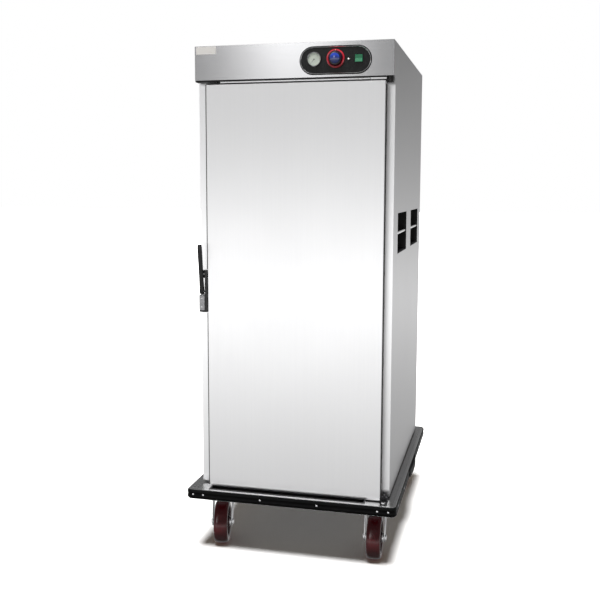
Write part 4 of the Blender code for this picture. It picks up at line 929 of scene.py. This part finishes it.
def build_lamp_and_switch():
    """Pilot lens in its collar, and the green rocker in its frame."""
    x, _, z = middle_of("pilot_lamp")
    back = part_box("pilot_lamp")[1][1]
    seat = frame_face("control_plate")
    bm = bmesh.new()
    add_lathe(bm, [(0.0026, seat - back), (0.0026, 0.0004), (0.0030, 0.0010), (0.0026, 0.0020),
                   (0.0016, 0.0027), (0.0002, 0.0030)], 28, (x, seat, z), "-Y")
    piece("pilot_lens", bm, LAMP_CLEAR, "cabinet", ["pilot_lamp"])
    bm = bmesh.new()
    add_ring_lathe(bm, [(0.0028, 0.0004), (0.0046, 0.0004), (0.0045, 0.0012), (0.0036, 0.0016),
                        (0.0030, 0.0012)], 32, (x, seat, z), "-Y")
    piece("pilot_collar", bm, PANEL_BLACK, "cabinet")
    dress("switch_body", PANEL_BLACK, 0.0003)
    dress("switch_rocker", ROCKER_GREEN, 0.0006, 3)


def build_inlet():
    """Mains inlet at the back: shell, three flat pins and two screws, no lead."""
    dress("power_inlet", BLACK_ABS, 0.0004)
    x, _, z = middle_of("power_inlet")
    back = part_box("power_inlet")[1][1]
    bm = bmesh.new()
    for dx, dz in ((-0.0070, 0.0), (0.0, 0.0030), (0.0070, 0.0)):
        add_box(bm, (x + dx - 0.0010, 0.4370, z + dz - 0.0020), (x + dx + 0.0010, 0.4500, z + dz + 0.0020),
                0.0004, 2)
    piece("inlet_pins", bm, SCREW_STEEL, "cabinet")
    bm = bmesh.new()
    add_screws(bm, [((x + dx, back, z), "Y") for dx in (-0.0195, 0.0195)], 0.0028, 0.0010)
    piece("inlet_screws", bm, SCREW_STEEL, "cabinet")


# ------------------------ inside
def build_inside():
    """Liner, racks, pan, heater, duct and fan with their small hardware."""
    for node in ("chamber_liner", "tray_rack_left", "tray_rack_right", "water_pan", "air_duct"):
        dress(node, STEEL_LINER, 0.0004)
    dress("fan_impeller", STEEL_LINER, 0.0003, 1)
    dress("fan_motor", BLACK_ABS, 0.0006)
    dress("heater_element", STEEL_HOT)
    dress("thermometer_probe", CHROME, 0.0004)
    for node in ("heater_element", "thermometer_probe"):
        NODES[node].data.shade_smooth()
    build_fan_guard()
    build_rack_screws()


def build_fan_guard():
    """Wire guard over the fan's intake: rings and spokes."""
    centre = Vector(JOINTS["fan_spin"]["pos_m"])
    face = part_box("air_duct")[0][1] - 0.0016
    bm = bmesh.new()
    for radius in (0.015, 0.029, 0.043, 0.058):
        path = [(centre.x + u, face, centre.z + v) for u, v in arc(0, 0, radius, 0, 360, 48)[:-1]]
        add_tube(bm, path, 0.0012, 8, closed=True)
    for i in range(4):
        angle = math.radians(45 + 90 * i)
        reach = Vector((math.cos(angle), 0, math.sin(angle)))
        base = Vector((centre.x, face, centre.z))
        add_tube(bm, [base + reach * 0.0145, base + reach * 0.040, base + reach * 0.066], 0.0013, 8)
    piece("fan_guard", bm, CHROME, "cabinet")


def build_rack_screws():
    """Screws that hold the racks and the duct."""
    low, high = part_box("air_duct")
    places = [((x, low[1], z), "-Y") for x in (low[0] + 0.012, high[0] - 0.012)
              for z in spaced(low[2] + 0.020, high[2] - 0.020, 5)]
    for side in ("left", "right"):
        rack_low, rack_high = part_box("tray_rack_" + side)
        inner_left, inner_right = rack_low[0] + RACK_SHEET, rack_high[0] - RACK_SHEET
        sheet, axis = (inner_left, "X") if side == "left" else (inner_right, "-X")
        for y in spaced(rack_low[1] + 0.035, rack_high[1] - 0.035, 3):
            for z in RACK_SCREWS_Z:
                places.append(((sheet, y, z), axis))
    bm = bmesh.new()
    add_screws(bm, places, 0.0036, 0.0014)
    piece("chamber_screws", bm, SCREW_STEEL, "cabinet")


# ------------------------ studio
CAMERA_PLACE = (0.6929, -3.1505, 1.2855)
CAMERA_YAW = math.radians(13.784)
CAMERA_PITCH = math.radians(-6.426)
CAMERA_ROLL = math.radians(0.167)
CAMERA_LENS = 50.087
CAMERA_SHIFT_Y = -0.0327


def build_camera():
    """Camera low and to the right of the front, looking slightly down."""
    data = bpy.data.cameras.new("camera")
    data.lens = CAMERA_LENS
    data.sensor_width = 36
    data.shift_y = CAMERA_SHIFT_Y
    camera = bpy.data.objects.new("camera", data)
    turn = (
        Matrix.Rotation(CAMERA_YAW, 4, "Z")
        @ Matrix.Rotation(math.pi / 2 + CAMERA_PITCH, 4, "X")
        @ Matrix.Rotation(CAMERA_ROLL, 4, "Z")
    )
    camera.matrix_world = Matrix.Translation(CAMERA_PLACE) @ turn
    bpy.context.scene.collection.objects.link(camera)
    bpy.context.scene.camera = camera


def build_world():
    """White backdrop; reflections see a soft band of light just under the horizon."""
    world = bpy.data.worlds.new("studio")
    bpy.context.scene.world = world
    world.use_nodes = True
    tree = world.node_tree
    tree.nodes.clear()
    path = tree.nodes.new("ShaderNodeLightPath")
    room = add_node(tree, "ShaderNodeBackground", {"Strength": room_light(tree)}, Color=(1, 1, 1, 1))
    soft = add_node(tree, "ShaderNodeBackground", Color=AMBIENT_TINT, Strength=AMBIENT)
    backdrop = add_node(tree, "ShaderNodeBackground", Color=(1, 1, 1, 1), Strength=1.0)
    glossy = tree.nodes.new("ShaderNodeMixShader")
    tree.links.new(path.outputs["Is Glossy Ray"], glossy.inputs[0])
    tree.links.new(soft.outputs[0], glossy.inputs[1])
    tree.links.new(room.outputs[0], glossy.inputs[2])
    mix = tree.nodes.new("ShaderNodeMixShader")
    tree.links.new(path.outputs["Is Camera Ray"], mix.inputs[0])
    tree.links.new(glossy.outputs[0], mix.inputs[1])
    tree.links.new(backdrop.outputs[0], mix.inputs[2])
    output = tree.nodes.new("ShaderNodeOutputWorld")
    tree.links.new(mix.outputs[0], output.inputs["Surface"])


def curve(tree, socket, points):
    """A smooth curve through (input, output) points, as a ramp of greys."""
    low, high = points[0][0], points[-1][0]
    peak = max(value for _, value in points)
    place = add_node(tree, "ShaderNodeMapRange", {"Value": socket})
    place.inputs["From Min"].default_value = low
    place.inputs["From Max"].default_value = high
    ramp = tree.nodes.new("ShaderNodeValToRGB")
    ramp.color_ramp.interpolation = "B_SPLINE"
    stops = ramp.color_ramp.elements
    for i, (where, value) in enumerate(points):
        spot = (where - low) / (high - low)
        stop = stops[i] if i < 2 else stops.new(spot)
        stop.position = spot
        stop.color = (*[value / peak] * 3, 1)
    tree.links.new(place.outputs["Result"], ramp.inputs["Fac"])
    scaled = add_node(tree, "ShaderNodeMath", {0: ramp.outputs["Color"]})
    scaled.operation = "MULTIPLY"
    scaled.inputs[1].default_value = peak
    return scaled.outputs[0]


def room_light(tree):
    """Radiance of the room as reflections see it, by height above the horizon and by bearing."""
    coordinate = tree.nodes.new("ShaderNodeTexCoord")
    split = tree.nodes.new("ShaderNodeSeparateXYZ")
    tree.links.new(coordinate.outputs["Generated"], split.inputs[0])
    height = curve(tree, split.outputs["Z"], BAND)
    bearing = tree.nodes.new("ShaderNodeMath")
    bearing.operation = "ARCTAN2"
    tree.links.new(split.outputs["X"], bearing.inputs[0])
    tree.links.new(split.outputs["Y"], bearing.inputs[1])
    around = curve(tree, bearing.outputs[0], AROUND)
    strip = curve(tree, bearing.outputs[0], STRIP)
    above = curve(tree, split.outputs["Z"], STRIP_HEIGHT)
    return combine(tree, "ADD", combine(tree, "MULTIPLY", height, around),
                   combine(tree, "MULTIPLY", strip, above))


def combine(tree, operation, first, second):
    """Two sockets through a Math node."""
    made = add_node(tree, "ShaderNodeMath", {0: first, 1: second})
    made.operation = operation
    return made.outputs[0]


# Room radiance by the direction's height (-1 straight down, 1 straight up)
BAND = [(-1.0, 0.25), (-0.60, 0.55), (-0.42, 0.74), (-0.33, 0.84), (-0.25, 0.98), (-0.18, 1.48),
        (-0.12, 2.20), (-0.06, 1.30), (0.0, 0.93), (0.06, 0.72), (0.12, 0.55), (0.20, 0.38), (0.40, 0.32),
        (1.0, 0.40)]
# The same by bearing from +Y, clockwise seen from above, in radians: the door faces +-pi
AROUND = [(-math.pi, 1.0), (-2.2, 0.9), (-1.5, 0.55), (-0.7, 0.6), (0.0, 0.53), (0.5, 0.58), (1.3, 0.7),
          (2.2, 0.9), (math.pi, 1.0)]
# A tall strip light in front, a little to the left, that the header's grain stretches upwards
STRIP = [(-math.pi, 0.0), (-2.965, 0.0), (-2.885, 11.5), (-2.80, 0.0), (-2.6, 0.0), (math.pi, 0.0)]
STRIP_HEIGHT = [(-1.0, 0.0), (0.17, 0.0), (0.24, 1.0), (0.45, 1.0), (0.65, 0.0), (1.0, 0.0)]
AMBIENT = 0.16
AMBIENT_TINT = (1.0, 0.86, 0.70, 1)
OVERHEAD_STRENGTH = 9.0
OVERHEAD_SPREAD = math.radians(26)
OVERHEAD_TILT = math.radians(11)


def build_floor():
    """Plain pale floor."""
    bm = bmesh.new()
    bmesh.ops.create_grid(bm, x_segments=1, y_segments=1, size=40)
    mesh = bpy.data.meshes.new("floor")
    bm.to_mesh(mesh)
    bm.free()
    floor = bpy.data.objects.new("floor", mesh)
    bpy.context.scene.collection.objects.link(floor)
    floor.visible_glossy = False
    floor.visible_diffuse = False
    material, tree, shader = make_material("floor_pale")
    tone = blend_colours(tree, object_noise(tree, 1.5), (0.94, 0.94, 0.935), (0.97, 0.97, 0.965))
    tree.links.new(tone, shader.inputs["Base Color"])
    shader.inputs["Roughness"].default_value = 0.9
    shader.inputs["Specular IOR Level"].default_value = 0.0
    mesh.materials.append(material)


def build_lights():
    """One broad overhead light, tilted a little to the front."""
    data = bpy.data.lights.new("overhead", "SUN")
    data.energy = OVERHEAD_STRENGTH
    data.angle = OVERHEAD_SPREAD
    light = bpy.data.objects.new("overhead", data)
    light.rotation_euler = (OVERHEAD_TILT, 0, 0)
    bpy.context.scene.collection.objects.link(light)
    light.visible_glossy = False


def main():
    """Dress the whole cabinet and set the studio."""
    bpy.context.scene.view_settings.view_transform = "Standard"
    build_camera()
    build_world()
    build_lights()
    build_floor()
    build_base()
    build_casters()
    build_casing()
    build_gap_shadow_beads()
    build_label()
    build_grips()
    build_door()
    build_hinges()
    build_latch()
    build_lever()
    build_bezel()
    build_thermometer()
    build_knob()
    build_lamp_and_switch()
    build_inlet()
    build_inside()


main()
